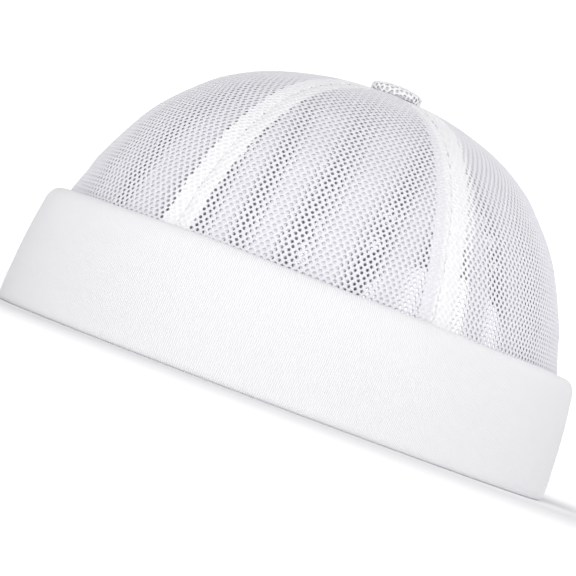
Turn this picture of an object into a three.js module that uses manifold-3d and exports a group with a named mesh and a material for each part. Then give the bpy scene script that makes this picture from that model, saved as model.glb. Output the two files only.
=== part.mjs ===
// Mesh beanie: a brimless cap with a net crown of six gores, a turned-up jersey cuff and an open back
// closed by two straps and a lever buckle. Millimetres, +Z up, the front at -Y and the opening at +Y.
// It stands on its rim, on z = 0.

import * as THREE from 'three';
import { mergeVertices } from 'three/addons/utils/BufferGeometryUtils.js';
import Module from 'manifold-3d';

// Plan: the rim's outer edge is an ellipse, longer from front to back
const RIM_REACH_Y = 103;
const RIM_REACH_X = 88;

// Room between metal pieces or solids that meet, and between curved layers of cloth
const GAP = 0.3;
const LAYER_GAP = 0.45;

// Cuff: one strip, folded round at the rim and over at the top
const CUFF_HEIGHT = 38.8;
const CUFF_WALL = 1.8;
const CUFF_LEAN = 2.6;
const CUFF_FOLD = 4.8;
const CUFF_SHOULDER = 6;
const CUFF_END_REACH = 54;
const CUFF_FOOT_TOP = 1.9;
const CUFF_SOLE_OUTER = 1.7;
const CUFF_SOLE_INNER = 3.4;
const CUFF_BELLY_INSET = 0.4;
const CUFF_BELLY_HEIGHT = 20;
const CUFF_BEND_HEIGHT = 33;
const CUFF_LIP_HEIGHT = 35.5;
const CUFF_LIP_WALL = 1.6;
const CUFF_STEPS = 54;
const CUFF_HEM_SHARE = 0.5 / CUFF_STEPS;

// Crown: heights of its walls and top, and the net's thickness
const CROWN_TOP = 104.5;
const CROWN_WALL = 1.2;
const CROWN_FOOT = 2.3;
const CROWN_BACK_LEAN = 5;
const CROWN_SWELL = 1.2;
const CROWN_HOLE = 2.4;
const PANELS = 6;

// The stretch of the crown inside the cuff: height, and inset from the rim's edge
const TUCKED_PROFILE = [
  { height: 0, inset: 3.4 },
  { height: 16, inset: 6.1 },
  { height: CUFF_BEND_HEIGHT, inset: 8.9 },
  { height: CUFF_HEIGHT, inset: 9.4 },
];

// The dome above the cuff: shares of its rise and of its reach at the cuff
const DOME_PROFILE = [
  { up: 0.12, out: 0.968 },
  { up: 0.244, out: 0.934 },
  { up: 0.513, out: 0.822 },
  { up: 0.716, out: 0.679 },
  { up: 0.805, out: 0.588 },
  { up: 0.872, out: 0.49 },
  { up: 0.924, out: 0.375 },
  { up: 0.97, out: 0.224 },
  { up: 1, out: 0 },
];

// Tapes behind the seams
const TAPE_WIDTH = 12;
const TAPE_WALL = 1;
const TAPE_BEHIND_CROWN = 0.5;

// Button on top
const BUTTON_RADIUS = 8.5;
const BUTTON_RISE = 3;
const BUTTON_EDGE = 1.5;
const BUTTON_SHANK = 1.5;
const BUTTON_SHANK_LENGTH = 3.4;

// Back opening: a slanted side up to the spring of the arch, then a round top
const ARCH_HALF_WIDTH = 39;
const ARCH_SPRING_HALF_WIDTH = 31.5;
const ARCH_SPRING_HEIGHT = 36;
const ARCH_TOP = 60;

// Tape folded round the edge of the opening
const BINDING_WIDTH = 8;
const BINDING_WALL = 1;
const BINDING_EDGE = 1.5;
const BINDING_EDGE_ROOM = 1;
const BINDING_FOOT = 1.4;

// Sweatband inside, which bows in over the sewn ends of the straps
const BAND_WALL = 1.3;
const BAND_FOOT = 1.6;
const BAND_TOP = 37.8;
const BAND_BEHIND_CROWN = 0.4;
const BAND_BOW_FULL = 17;
const BAND_BOW_END = 38;

// Straps
const STRAP_WIDTH = 14.5;
const STRAP_WALL = 1.2;
const STRAP_FOOT = 2.3;
const STRAP_TUCK = 14;
const STRAP_LEFT_TIP = 3.2;
const STRAP_RIGHT_TIP = -24;
const STRAP_FLAT_HALF = 13;
const STRAP_STEP_START = 26;
const STRAP_STEP_END = 38;

// Buckle: sheet metal, its length along X and its depth along the strap's normal
const SHEET = 0.6;
const TRAY_LEFT = -9.5;
const TRAY_BAR = 4.3;
const TRAY_JAW = 11;
const TRAY_BAR_RISE = 2.1;
const JAW_TEETH = 5;
const JAW_TOOTH_DEPTH = 0.9;
const EAR_LEFT = 5.6;
const EAR_RIGHT = 10.4;
const PIVOT_X = 8;
const PIVOT_Y = 0.3;
const PIN_RADIUS = 0.7;
const PIN_HOLE_RADIUS = 1;
const LEVER_LEFT = -10;
const LEVER_SHOULDER = 5;
const LEVER_BARREL = 0.95;
const LEVER_CAM = 1.45;

// Eyelet in the left strap
const EYELET_X = -6.5;
const EYELET_RADIUS = 3.5;
const EYELET_HOLE = 1.8;
const EYELET_BARREL = 2.3;

// Depths inward from the crown's outer face, where the layers meet at the opening
const BINDING_DEPTH = CROWN_WALL + LAYER_GAP;
const STRAP_DEPTH = BINDING_DEPTH + BINDING_WALL + LAYER_GAP;
const BAND_DEPTH_AT_END = STRAP_DEPTH + STRAP_WALL + LAYER_GAP;
const BAND_DEPTH = CROWN_WALL + BAND_BEHIND_CROWN;

const wasm = await Module();
wasm.setup();

const lerp = THREE.MathUtils.lerp;
const smoothstep = THREE.MathUtils.smoothstep;

// The crown's outline from the rim to the top, as reach along Y against height
const domeReach = RIM_REACH_Y - TUCKED_PROFILE.at(-1).inset;
const domeRise = CROWN_TOP - CUFF_HEIGHT;
const crownProfile = new THREE.SplineCurve([
  ...TUCKED_PROFILE.map((row) => new THREE.Vector2(RIM_REACH_Y - row.inset, row.height)),
  ...DOME_PROFILE.map((row) => new THREE.Vector2(row.out * domeReach, CUFF_HEIGHT + row.up * domeRise)),
]);

// Reach along X that goes with a reach along Y: the same inset in the cuff, the same share in the dome
function sideReach(reach) {
  const difference = RIM_REACH_Y - RIM_REACH_X;
  return Math.max(reach - difference, reach * (1 - difference / domeReach));
}

// A point on the crown's outer face: the turn from the front, and the level from 0 at the rim to 1 on top
function crownSkin(turn, level) {
  const row = crownProfile.getPoint(THREE.MathUtils.clamp(level, 0, 1));
  const rise = THREE.MathUtils.clamp((row.y - CUFF_HEIGHT) / domeRise, 0, 1);
  const betweenSeams = Math.sin(turn * PANELS / 2) ** 2;
  const swell = CROWN_SWELL * betweenSeams * Math.sin(Math.PI * rise);
  const back = CROWN_BACK_LEAN * Math.max(0, 1 - row.x / domeReach);
  return new THREE.Vector3(
    (sideReach(row.x) + swell) * Math.sin(turn),
    back - (row.x + swell) * Math.cos(turn),
    row.y,
  );
}

// The point at a depth behind a surface, measured along its normal
function behind(surface, u, v, depth) {
  const step = 1e-3;
  const across = surface(u + step, v).sub(surface(u - step, v));
  const up = surface(u, v + step).sub(surface(u, v - step));
  return surface(u, v).addScaledVector(across.cross(up).normalize(), -depth);
}

// The value between two limits where a rising function reaches its target
function solve(rising, target, low, high) {
  for (let round = 0; round < 40; round += 1) {
    const middle = (low + high) / 2;
    if (rising(middle) < target) low = middle;
    else high = middle;
  }
  return (low + high) / 2;
}

const levelAt = (height) => solve((level) => crownProfile.getPoint(level).y, height, 0, 1);

// The back of the crown by its side distance and height, at a depth behind the outer face
function backSkin(x, height) {
  const level = levelAt(height);
  const turn = solve((angle) => -crownSkin(angle, level).x, -x, Math.PI / 2, 1.5 * Math.PI);
  return crownSkin(turn, level);
}

// Half the width of the opening at a height up the slanted sides
const archHalfWidth = (height) =>
  ARCH_HALF_WIDTH - (ARCH_HALF_WIDTH - ARCH_SPRING_HALF_WIDTH) * height / ARCH_SPRING_HEIGHT;

// Moves every vertex of a plain geometry to its place, after merging the doubled ones
function bend(geometry, place) {
  const plain = geometry.clone();
  plain.deleteAttribute('normal');
  plain.deleteAttribute('uv');
  const merged = mergeVertices(plain);
  const position = merged.getAttribute('position');
  const point = new THREE.Vector3();
  for (let index = 0; index < position.count; index += 1) {
    point.fromBufferAttribute(position, index);
    const placed = place(point.x, point.y, point.z);
    position.setXYZ(index, placed.x, placed.y, placed.z);
  }
  return merged;
}

// A wall: shares run 0 to 1 across and up, and the side is 0 on the outer face and 1 on the inner
function wall(across, up, place) {
  const slab = new THREE.BoxGeometry(1, 1, 1, across, up, 1);
  return bend(slab, (x, y, z) => place(x + 0.5, y + 0.5, 0.5 - z));
}

// A box between two corners
function block(low, high) {
  const size = new THREE.Vector3().subVectors(high, low);
  const middle = new THREE.Vector3().addVectors(low, high).multiplyScalar(0.5);
  return new THREE.BoxGeometry(size.x, size.y, size.z).translate(middle.x, middle.y, middle.z);
}

// Solids for joining and cutting
function toSolid(geometry) {
  const merged = bend(geometry, (x, y, z) => ({ x, y, z }));
  const vertProperties = new Float32Array(merged.getAttribute('position').array);
  const triVerts = new Uint32Array(merged.getIndex().array);
  return new wasm.Manifold(new wasm.Mesh({ numProp: 3, vertProperties, triVerts }));
}

function toGeometry(solid) {
  const mesh = solid.getMesh();
  const geometry = new THREE.BufferGeometry();
  geometry.setAttribute('position', new THREE.BufferAttribute(mesh.vertProperties, 3));
  geometry.setIndex(new THREE.BufferAttribute(mesh.triVerts, 1));
  return geometry;
}

function join(geometries) {
  return toGeometry(geometries.map(toSolid).reduce((whole, next) => whole.add(next)));
}

function cut(geometry, tool) {
  return toGeometry(toSolid(geometry).subtract(toSolid(tool)));
}

// The opening's edge as points in X and Z, from the right foot over the top to the left foot
function archLine(outward, foot) {
  const slope = (ARCH_HALF_WIDTH - ARCH_SPRING_HALF_WIDTH) / ARCH_SPRING_HEIGHT;
  const shoulder = ARCH_SPRING_HALF_WIDTH - (ARCH_TOP - ARCH_SPRING_HEIGHT) * slope;
  const round = new THREE.QuadraticBezierCurve(
    new THREE.Vector2(ARCH_SPRING_HALF_WIDTH, ARCH_SPRING_HEIGHT),
    new THREE.Vector2(shoulder, ARCH_TOP),
    new THREE.Vector2(0, ARCH_TOP),
  ).getPoints(8);
  const side = [0, 1, 2].map((step) => {
    const height = lerp(foot, ARCH_SPRING_HEIGHT, step / 3);
    return new THREE.Vector2(archHalfWidth(height), height);
  });
  const half = [...side, ...round];
  const mirrored = half.slice(0, -1).reverse().map((point) => new THREE.Vector2(-point.x, point.y));
  const line = [...half, ...mirrored];
  return line.map((point, index) => {
    const along = new THREE.Vector2().subVectors(
      line[Math.min(index + 1, line.length - 1)],
      line[Math.max(index - 1, 0)],
    ).normalize();
    const away = new THREE.Vector2(along.y, -along.x);
    return { point: point.clone().addScaledVector(away, outward), away };
  });
}

// Crown panel: one gore between two seams
function crownPanel(index) {
  const share = (2 * Math.PI) / PANELS;
  const foot = levelAt(CROWN_FOOT);
  const top = solve((level) => domeReach - crownProfile.getPoint(level).x, domeReach - CROWN_HOLE, 0, 1);
  const gore = wall(10, 14, (across, up, side) => {
    const level = lerp(foot, top, up);
    const seamGap = (GAP / 2) / crownProfile.getPoint(level).x;
    const turn = lerp(index * share + seamGap, (index + 1) * share - seamGap, across);
    return behind(crownSkin, turn, level, side * CROWN_WALL);
  });
  const besideOpening = index === PANELS / 2 - 1 || index === PANELS / 2;
  return besideOpening ? cut(gore, openingTool()) : gore;
}

// The space that the opening takes out of the crown, with room for the binding's edge
function openingTool() {
  const line = archLine(BINDING_EDGE + BINDING_EDGE_ROOM, -2).map((row) => row.point);
  const shape = new THREE.Shape(line.map((point) => new THREE.Vector2(point.x, point.y)));
  const depth = RIM_REACH_Y;
  const tool = new THREE.ExtrudeGeometry(shape, { depth, bevelEnabled: false, steps: 1 });
  return tool.rotateX(Math.PI / 2).translate(0, depth + RIM_REACH_Y / 4, 0);
}

// Seam tape: it narrows to a wedge where the six meet under the button
function seamTape(index) {
  const turn = (index * 2 * Math.PI) / PANELS;
  const overOpening = index === PANELS / 2;
  const foot = levelAt(overOpening ? ARCH_TOP + BINDING_WIDTH + 1 : BAND_TOP + 1);
  const top = solve((level) => domeReach - crownProfile.getPoint(level).x, domeReach - CROWN_HOLE - 0.3, 0, 1);
  return wall(2, 14, (across, up, side) => {
    const level = lerp(foot, top, up);
    const radius = crownSkin(turn, level).setZ(0).distanceTo(new THREE.Vector3(0, CROWN_BACK_LEAN, 0));
    const halfWidth = Math.min(TAPE_WIDTH / 2, radius * Math.tan(Math.PI / PANELS) * 0.8 - GAP);
    const angle = turn + (across - 0.5) * 2 * Math.atan(halfWidth / radius);
    return behind(crownSkin, angle, level, CROWN_WALL + TAPE_BEHIND_CROWN + side * TAPE_WALL);
  });
}

// Button: a flat dome on a shank that passes between the panels' tips
function crownButton() {
  const outline = new THREE.Path();
  outline.moveTo(0, -BUTTON_SHANK_LENGTH);
  outline.lineTo(BUTTON_SHANK, -BUTTON_SHANK_LENGTH);
  outline.lineTo(BUTTON_SHANK, 0);
  outline.lineTo(BUTTON_RADIUS - 0.4, 0);
  outline.quadraticCurveTo(BUTTON_RADIUS, 0, BUTTON_RADIUS, BUTTON_EDGE / 2);
  outline.quadraticCurveTo(BUTTON_RADIUS, BUTTON_EDGE, BUTTON_RADIUS - 1.2, BUTTON_EDGE + 0.5);
  outline.quadraticCurveTo(BUTTON_RADIUS / 2, BUTTON_RISE, 0, BUTTON_RISE);
  const button = new THREE.LatheGeometry(outline.getPoints(2), 24);
  return button.rotateX(Math.PI / 2);
}

// The cuff's outer line by inset and height, from inside the lip over the shoulder and down to the foot
function cuffOuterLine(section) {
  const lip = CUFF_LEAN + CUFF_SHOULDER;
  section.lineTo(lip, CUFF_LIP_HEIGHT);
  section.bezierCurveTo(
    lip - 0.2, CUFF_HEIGHT + 1.7, CUFF_LEAN + 0.4, CUFF_HEIGHT + 1.4, CUFF_LEAN, CUFF_BEND_HEIGHT,
  );
  section.quadraticCurveTo(CUFF_BELLY_INSET, CUFF_BELLY_HEIGHT, 0, 3.2);
  section.quadraticCurveTo(0, 0, CUFF_SOLE_OUTER, 0);
  section.lineTo(CUFF_SOLE_INNER, 0);
  section.quadraticCurveTo(CUFF_FOLD, 0, CUFF_FOLD, CUFF_FOOT_TOP / 2);
  section.lineTo(CUFF_FOLD, CUFF_FOOT_TOP);
}

// The strip's section, open towards the crown
function cuffSection() {
  const lip = CUFF_LEAN + CUFF_SHOULDER;
  const lipInner = lip - CUFF_LIP_WALL;
  const wallTop = CUFF_LEAN + CUFF_WALL;
  const section = new THREE.Shape();
  section.moveTo(lipInner, CUFF_BEND_HEIGHT);
  section.lineTo(lip, CUFF_BEND_HEIGHT);
  cuffOuterLine(section);
  section.lineTo(CUFF_SOLE_INNER, CUFF_FOOT_TOP);
  section.quadraticCurveTo(CUFF_WALL, CUFF_FOOT_TOP, CUFF_WALL, 4.5);
  section.quadraticCurveTo(CUFF_WALL + CUFF_BELLY_INSET, CUFF_BELLY_HEIGHT, wallTop, CUFF_BEND_HEIGHT);
  section.bezierCurveTo(
    wallTop + 0.3, CUFF_HEIGHT - 0.9, lipInner - 0.2, CUFF_HEIGHT - 0.9, lipInner, CUFF_LIP_HEIGHT - 0.3,
  );
  return section;
}

// The section of the hem that closes each end of the strip, out to just short of the crown
function cuffEndSection() {
  const shortOfCrown = 0.15;
  const section = new THREE.Shape();
  section.moveTo(CUFF_LEAN + CUFF_SHOULDER - shortOfCrown, CUFF_BEND_HEIGHT);
  cuffOuterLine(section);
  section.lineTo(TUCKED_PROFILE[0].inset - shortOfCrown, CUFF_FOOT_TOP);
  return section;
}

// Cuff: the strip swept round the rim between its slanted ends, with a hem at each end
function cuff() {
  const sweep = (section, steps, from, to) => {
    const strip = new THREE.ExtrudeGeometry(section, { depth: 1, steps, curveSegments: 3, bevelEnabled: false });
    return bend(strip, (inset, height, along) => {
      const endReach = CUFF_END_REACH - (ARCH_HALF_WIDTH - archHalfWidth(height));
      const lastTurn = Math.PI - Math.asin(endReach / (RIM_REACH_X - inset));
      const turn = lerp(-lastTurn, lastTurn, lerp(from, to, along));
      return new THREE.Vector3(
        (RIM_REACH_X - inset) * Math.sin(turn),
        -(RIM_REACH_Y - inset) * Math.cos(turn),
        height,
      );
    });
  };
  return join([
    sweep(cuffSection(), CUFF_STEPS, 0, 1),
    sweep(cuffEndSection(), 1, 0, CUFF_HEM_SHARE),
    sweep(cuffEndSection(), 1, 1 - CUFF_HEM_SHARE, 1),
  ]);
}

// Sweatband: close behind the crown, and further in where it covers the straps' ends
function sweatband() {
  return wall(54, 3, (across, up, side) => {
    const height = lerp(BAND_FOOT, BAND_TOP, up);
    const level = levelAt(height);
    const reach = sideReach(crownProfile.getPoint(level).x);
    const lastTurn = Math.PI - Math.asin((archHalfWidth(height) + GAP) / reach);
    const turn = lerp(-lastTurn, lastTurn, across);
    const toEnd = (lastTurn - Math.abs(turn)) * reach;
    const bow = 1 - smoothstep(toEnd, BAND_BOW_FULL, BAND_BOW_END);
    return behind(crownSkin, turn, level, lerp(BAND_DEPTH, BAND_DEPTH_AT_END, bow) + side * BAND_WALL);
  });
}

// Binding: a channel folded over the crown's cut edge, swept over the arch
function openingBinding() {
  const outer = LAYER_GAP + BINDING_WALL;
  const inner = -BINDING_DEPTH - BINDING_WALL;
  const section = new THREE.Shape([
    new THREE.Vector2(0, inner),
    new THREE.Vector2(BINDING_WIDTH, inner),
    new THREE.Vector2(BINDING_WIDTH, -BINDING_DEPTH),
    new THREE.Vector2(BINDING_EDGE, -BINDING_DEPTH),
    new THREE.Vector2(BINDING_EDGE, LAYER_GAP),
    new THREE.Vector2(BINDING_WIDTH, LAYER_GAP),
    new THREE.Vector2(BINDING_WIDTH, outer),
    new THREE.Vector2(0, outer),
  ]);
  const line = archLine(0, BINDING_FOOT);
  const steps = line.length - 1;
  const channel = new THREE.ExtrudeGeometry(section, { depth: steps, steps, bevelEnabled: false });
  return bend(channel, (outward, proud, along) => {
    const { point, away } = line[Math.round(along)];
    const edge = point.clone().addScaledVector(away, outward);
    return behind(backSkin, edge.x, edge.y, proud);
  });
}

// Depths of the layers in the buckle, along its local Y, which points out of the hat
const TAIL_OUTER = -1.4;
const BASE_OUTER = TAIL_OUTER - STRAP_WALL - GAP;
const LEFT_STRAP_OUTER = BASE_OUTER - SHEET - GAP;

// The surface that the straps follow: flat at the buckle, then rounding out to meet the crown's skin
function strapSkin(x, height) {
  const beyondFlat = (Math.abs(x) - STRAP_FLAT_HALF) / (ARCH_HALF_WIDTH - STRAP_FLAT_HALF);
  const share = THREE.MathUtils.clamp(beyondFlat, 0, 1);
  const eased = ARCH_HALF_WIDTH * share + STRAP_FLAT_HALF * share ** 2 * (1 - share);
  const reached = eased + Math.max(0, Math.abs(x) - ARCH_HALF_WIDTH);
  return backSkin(reached, height).setX(x);
}

// The buckle leans as the straps do
const strapMiddle = STRAP_FOOT + STRAP_WIDTH / 2;
const strapLean = Math.atan((strapSkin(0, STRAP_FOOT).y - strapSkin(0, STRAP_FOOT + STRAP_WIDTH).y) / STRAP_WIDTH);
const buckle = new THREE.Group();
buckle.position.copy(behind(strapSkin, 0, strapMiddle, -STRAP_DEPTH - TAIL_OUTER));
buckle.rotation.x = strapLean;
buckle.updateMatrix();

// A strap from its right end to its left, whose depth in the buckle is that of its outer face there
function strap(from, to, outerInBuckle) {
  return wall(34, 2, (across, up, side) => {
    const x = lerp(from, to, across);
    const height = strapMiddle + (up - 0.5) * STRAP_WIDTH * Math.cos(strapLean);
    const insideTail = 1 - smoothstep(Math.abs(x), STRAP_STEP_START, STRAP_STEP_END);
    const depth = STRAP_DEPTH + (TAIL_OUTER - outerInBuckle) * insideTail + side * STRAP_WALL;
    return behind(strapSkin, x, height, -depth);
  });
}

// Left strap: its tip lies inside the tray, pierced for the eyelet
function strapLeft() {
  const whole = strap(STRAP_LEFT_TIP, -ARCH_HALF_WIDTH - STRAP_TUCK, LEFT_STRAP_OUTER);
  const punch = new THREE.CylinderGeometry(EYELET_BARREL + GAP, EYELET_BARREL + GAP, 3 * STRAP_WALL, 20);
  punch.translate(EYELET_X, LEFT_STRAP_OUTER - STRAP_WALL / 2, 0).applyMatrix4(buckle.matrix);
  return cut(whole, punch);
}

// Right strap: it runs through the buckle and on behind the left one as a tail
function strapRight() {
  return strap(ARCH_HALF_WIDTH + STRAP_TUCK, STRAP_RIGHT_TIP, TAIL_OUTER);
}

// Eyelet: a rolled flange on the inside and a barrel through the strap
function eyelet() {
  const face = LEFT_STRAP_OUTER - STRAP_WALL - GAP;
  const outline = new THREE.Path();
  outline.moveTo(EYELET_HOLE, LEFT_STRAP_OUTER);
  outline.lineTo(EYELET_HOLE, face - 0.1);
  outline.quadraticCurveTo(EYELET_HOLE, face - 0.8, EYELET_HOLE + 0.8, face - 0.8);
  outline.quadraticCurveTo(EYELET_RADIUS, face - 0.8, EYELET_RADIUS, face);
  outline.lineTo(EYELET_BARREL, face);
  outline.lineTo(EYELET_BARREL, LEFT_STRAP_OUTER);
  outline.lineTo(EYELET_HOLE, LEFT_STRAP_OUTER);
  return new THREE.LatheGeometry(outline.getPoints(2), 20);
}

const corner = (x, y, z) => new THREE.Vector3(x, y, z);
const trayHalf = STRAP_WIDTH / 2 + GAP + SHEET;
const wallInner = trayHalf - SHEET;

// Base plate of the tray, with the scalloped jaw on its right end
function trayBase() {
  const outline = new THREE.Shape();
  outline.moveTo(TRAY_LEFT, -trayHalf);
  outline.lineTo(TRAY_JAW - JAW_TOOTH_DEPTH, -trayHalf);
  const toothWidth = (2 * trayHalf) / JAW_TEETH;
  for (let tooth = 0; tooth < JAW_TEETH; tooth += 1) {
    const start = -trayHalf + tooth * toothWidth;
    const root = TRAY_JAW - JAW_TOOTH_DEPTH;
    outline.quadraticCurveTo(TRAY_JAW + JAW_TOOTH_DEPTH, start + toothWidth / 2, root, start + toothWidth);
  }
  outline.lineTo(TRAY_LEFT, trayHalf);
  const plate = new THREE.ExtrudeGeometry(outline, { depth: SHEET, curveSegments: 5, bevelEnabled: false });
  return plate.rotateX(Math.PI / 2).translate(0, BASE_OUTER, 0);
}

// Tray: base, two side walls, the bar that the left strap's tip meets, and two pivot ears
function buckleTray() {
  const base = BASE_OUTER - SHEET;
  const pieces = [
    trayBase(),
    block(corner(TRAY_BAR - 0.8, base - TRAY_BAR_RISE, -trayHalf), corner(TRAY_BAR, BASE_OUTER, trayHalf)),
  ];
  for (const side of [-1, 1]) {
    const low = Math.min(side * wallInner, side * trayHalf);
    const high = Math.max(side * wallInner, side * trayHalf);
    pieces.push(block(corner(TRAY_LEFT, base, low), corner(TRAY_BAR, PIVOT_Y, high)));
    pieces.push(block(corner(EAR_LEFT, base, low), corner(EAR_RIGHT, PIVOT_Y + 0.9, high)));
  }
  const bore = new THREE.CylinderGeometry(PIN_HOLE_RADIUS, PIN_HOLE_RADIUS, 4 * trayHalf, 16);
  bore.rotateX(Math.PI / 2).translate(PIVOT_X, PIVOT_Y, 0);
  return cut(join(pieces), bore);
}

// Lever: a cover plate, a barrel with its cam and the pivot pin, made about the pivot
function buckleLever() {
  const barrelHalf = wallInner - GAP;
  const plateInner = PIVOT_Y + GAP;
  const plate = block(
    corner(LEVER_LEFT, plateInner, -trayHalf),
    corner(LEVER_SHOULDER, plateInner + SHEET, trayHalf),
  );
  const neck = block(
    corner(LEVER_SHOULDER - 1, plateInner, -barrelHalf),
    corner(PIVOT_X, plateInner + SHEET, barrelHalf),
  );
  const along = (radius, half) =>
    new THREE.CylinderGeometry(radius, radius, 2 * half, 16).rotateX(Math.PI / 2).translate(PIVOT_X, PIVOT_Y, 0);
  const cam = block(
    corner(PIVOT_X - 0.5, PIVOT_Y - LEVER_CAM, -barrelHalf),
    corner(PIVOT_X + 0.5, PIVOT_Y, barrelHalf),
  );
  const lever = join([plate, neck, along(LEVER_BARREL, barrelHalf), cam, along(PIN_RADIUS, trayHalf + GAP)]);
  return lever.translate(-PIVOT_X, -PIVOT_Y, 0);
}

// Materials
const finish = (color, roughness, metalness = 0) => new THREE.MeshStandardMaterial({ color, roughness, metalness });
const netCloth = finish('#f4f4f7', 0.9);
const tapeCloth = finish('#f7f7f9', 0.9);
const jersey = finish('#f5f5f8', 0.95);
const twill = finish('#dedce1', 0.9);
const strapCotton = finish('#d8d6de', 0.9);
const nickel = finish('#c9c7c6', 0.3, 1);

function piece(name, geometry, material) {
  geometry.computeVertexNormals();
  const mesh = new THREE.Mesh(geometry, material);
  mesh.name = name;
  return mesh;
}

const hat = new THREE.Group();
for (let index = 0; index < PANELS; index += 1) {
  hat.add(piece(`crown_panel_${index + 1}`, crownPanel(index), netCloth));
  hat.add(piece(`seam_tape_${index + 1}`, seamTape(index), tapeCloth));
}
const button = piece('crown_button', crownButton(), netCloth);
button.position.set(0, CROWN_BACK_LEAN, CROWN_TOP + GAP);
hat.add(button);
hat.add(piece('cuff', cuff(), jersey));
hat.add(piece('sweatband', sweatband(), twill));
hat.add(piece('opening_binding', openingBinding(), strapCotton));
hat.add(piece('strap_left', strapLeft(), strapCotton));
hat.add(piece('strap_right', strapRight(), strapCotton));

buckle.add(piece('eyelet', eyelet(), nickel));
buckle.children[0].position.set(EYELET_X, 0, 0);
buckle.add(piece('buckle_tray', buckleTray(), nickel));
const lever = piece('buckle_lever', buckleLever(), nickel);
lever.position.set(PIVOT_X, PIVOT_Y, 0);
buckle.add(lever);
hat.add(buckle);

// The origin is under the middle of the whole hat
hat.updateMatrixWorld(true);
const middle = new THREE.Box3().setFromObject(hat).getCenter(new THREE.Vector3());
hat.position.set(-middle.x, -middle.y, 0);

export default hat;
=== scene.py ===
"""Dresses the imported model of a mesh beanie: net, jersey, twill, straps, stitches and metal.

Metres, +Z up, the front at -Y and the back opening at +Y. The sizes that the pieces share with the
solids are named here once, and the hat's place comes from the frame.
"""

import math

import bmesh
import bpy
import numpy as np
from bpy.props import FloatProperty, FloatVectorProperty, PointerProperty
from mathutils import Matrix, Vector


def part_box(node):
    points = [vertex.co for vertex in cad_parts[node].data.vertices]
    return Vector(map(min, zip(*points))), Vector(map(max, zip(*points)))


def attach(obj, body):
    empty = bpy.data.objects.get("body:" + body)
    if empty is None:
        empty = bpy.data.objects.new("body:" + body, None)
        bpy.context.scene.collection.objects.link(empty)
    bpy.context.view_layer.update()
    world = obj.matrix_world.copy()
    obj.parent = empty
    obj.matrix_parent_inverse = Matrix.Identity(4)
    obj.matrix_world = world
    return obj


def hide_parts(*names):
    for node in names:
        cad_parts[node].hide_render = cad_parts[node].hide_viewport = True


bl_info = {
    "name": "Mesh beanie",
    "version": (1, 0, 0),
    "blender": (4, 5, 0),
    "location": "View3D > Sidebar > Beanie",
    "description": "Dresses the solids of a brimless net cap in cloth, stitches and metal",
    "category": "Object",
}

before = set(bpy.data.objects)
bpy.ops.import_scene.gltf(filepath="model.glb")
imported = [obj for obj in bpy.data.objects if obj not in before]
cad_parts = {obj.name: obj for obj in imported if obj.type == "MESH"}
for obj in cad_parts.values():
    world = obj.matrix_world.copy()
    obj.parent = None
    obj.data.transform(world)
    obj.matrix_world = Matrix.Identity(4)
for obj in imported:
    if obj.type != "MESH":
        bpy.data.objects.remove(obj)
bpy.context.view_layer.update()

MM = 0.001

# Rim and crown
RIM_REACH_Y = 103 * MM
RIM_REACH_X = 88 * MM
CROWN_TOP = 104.5 * MM
CROWN_BACK_LEAN = 5 * MM
CROWN_SWELL = 1.2 * MM
PANELS = 6
CUFF_HEIGHT = 38.8 * MM
CUFF_BEND_HEIGHT = 33 * MM

# Height and inset from the rim's edge in millimetres, inside the cuff
TUCKED_PROFILE = ((0, 3.4), (16, 6.1), (33, 8.9), (38.8, 9.4))

# Shares of the dome's rise and of its reach, above the cuff
DOME_PROFILE = (
    (0.12, 0.968), (0.244, 0.934), (0.513, 0.822), (0.716, 0.679), (0.805, 0.588),
    (0.872, 0.49), (0.924, 0.375), (0.97, 0.224), (1, 0),
)

# The hat as a whole is centred in the frame, so its front gives where it stands
HAT_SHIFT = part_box("cuff")[0].y + RIM_REACH_Y

# Back opening
ARCH_HALF_WIDTH = 39 * MM
ARCH_SPRING_HALF_WIDTH = 31.5 * MM
ARCH_SPRING_HEIGHT = 36 * MM
ARCH_TOP = 60 * MM

# Depths behind the crown's outer face, where the layers meet at the opening
STRAP_DEPTH = 3.1 * MM
BAND_DEPTH = 1.6 * MM
BAND_DEPTH_AT_END = 4.75 * MM

# Straps and buckle
STRAP_WIDTH = 14.5 * MM
STRAP_WALL = 1.2 * MM
STRAP_FOOT = 2.3 * MM
STRAP_TUCK = 14 * MM
STRAP_FLAT_HALF = 13 * MM
TAIL_OUTER = -1.4 * MM
SHEET = 0.6 * MM
GAP = 0.3 * MM
BASE_OUTER = TAIL_OUTER - STRAP_WALL - GAP
LEFT_STRAP_OUTER = BASE_OUTER - SHEET - GAP

FULL_TURN = 2 * math.pi

# Points nearer than this are one
DOUBLE = 0.002 * MM

# Sides of a turned piece
ROUND_SIDES = 48

# The flat map of a piece's cloth, in metres
FLAT_MAP = "Flat"


# Properties: what a user would change

def size(name, description, millimetres):
    return FloatProperty(
        name=name, description=description, default=millimetres * MM, unit="LENGTH", precision=5)


def tint(name, description, red, green, blue):
    return FloatVectorProperty(
        name=name, description=description, default=(red, green, blue), subtype="COLOR", min=0, max=1)


class NetSettings(bpy.types.PropertyGroup):
    """The net of the crown and of the button."""

    hole: size("Hole", "Diameter of a hole in the net", 1.1)
    across: size("Column spacing", "Mean distance between two columns of holes", 1.1)
    along: size("Row spacing", "Distance from hole to hole along a column", 2.75)
    pairing: size("Pairing", "How far each column leans towards its twin", 0.15)
    wall: size("Face thickness", "Thickness of the net's outer face", 0.22)
    backing_depth: size("Backing depth", "Depth of the net's inner face behind the outer one", 0.45)
    backing_hole: size("Backing hole", "Diameter of a hole in the net's inner face", 1.05)
    button_hole: size("Button hole", "Diameter of a hole in the stretched net on the button", 1.3)
    color: tint("Colour", "Colour of the net", 0.85, 0.845, 0.885)


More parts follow.
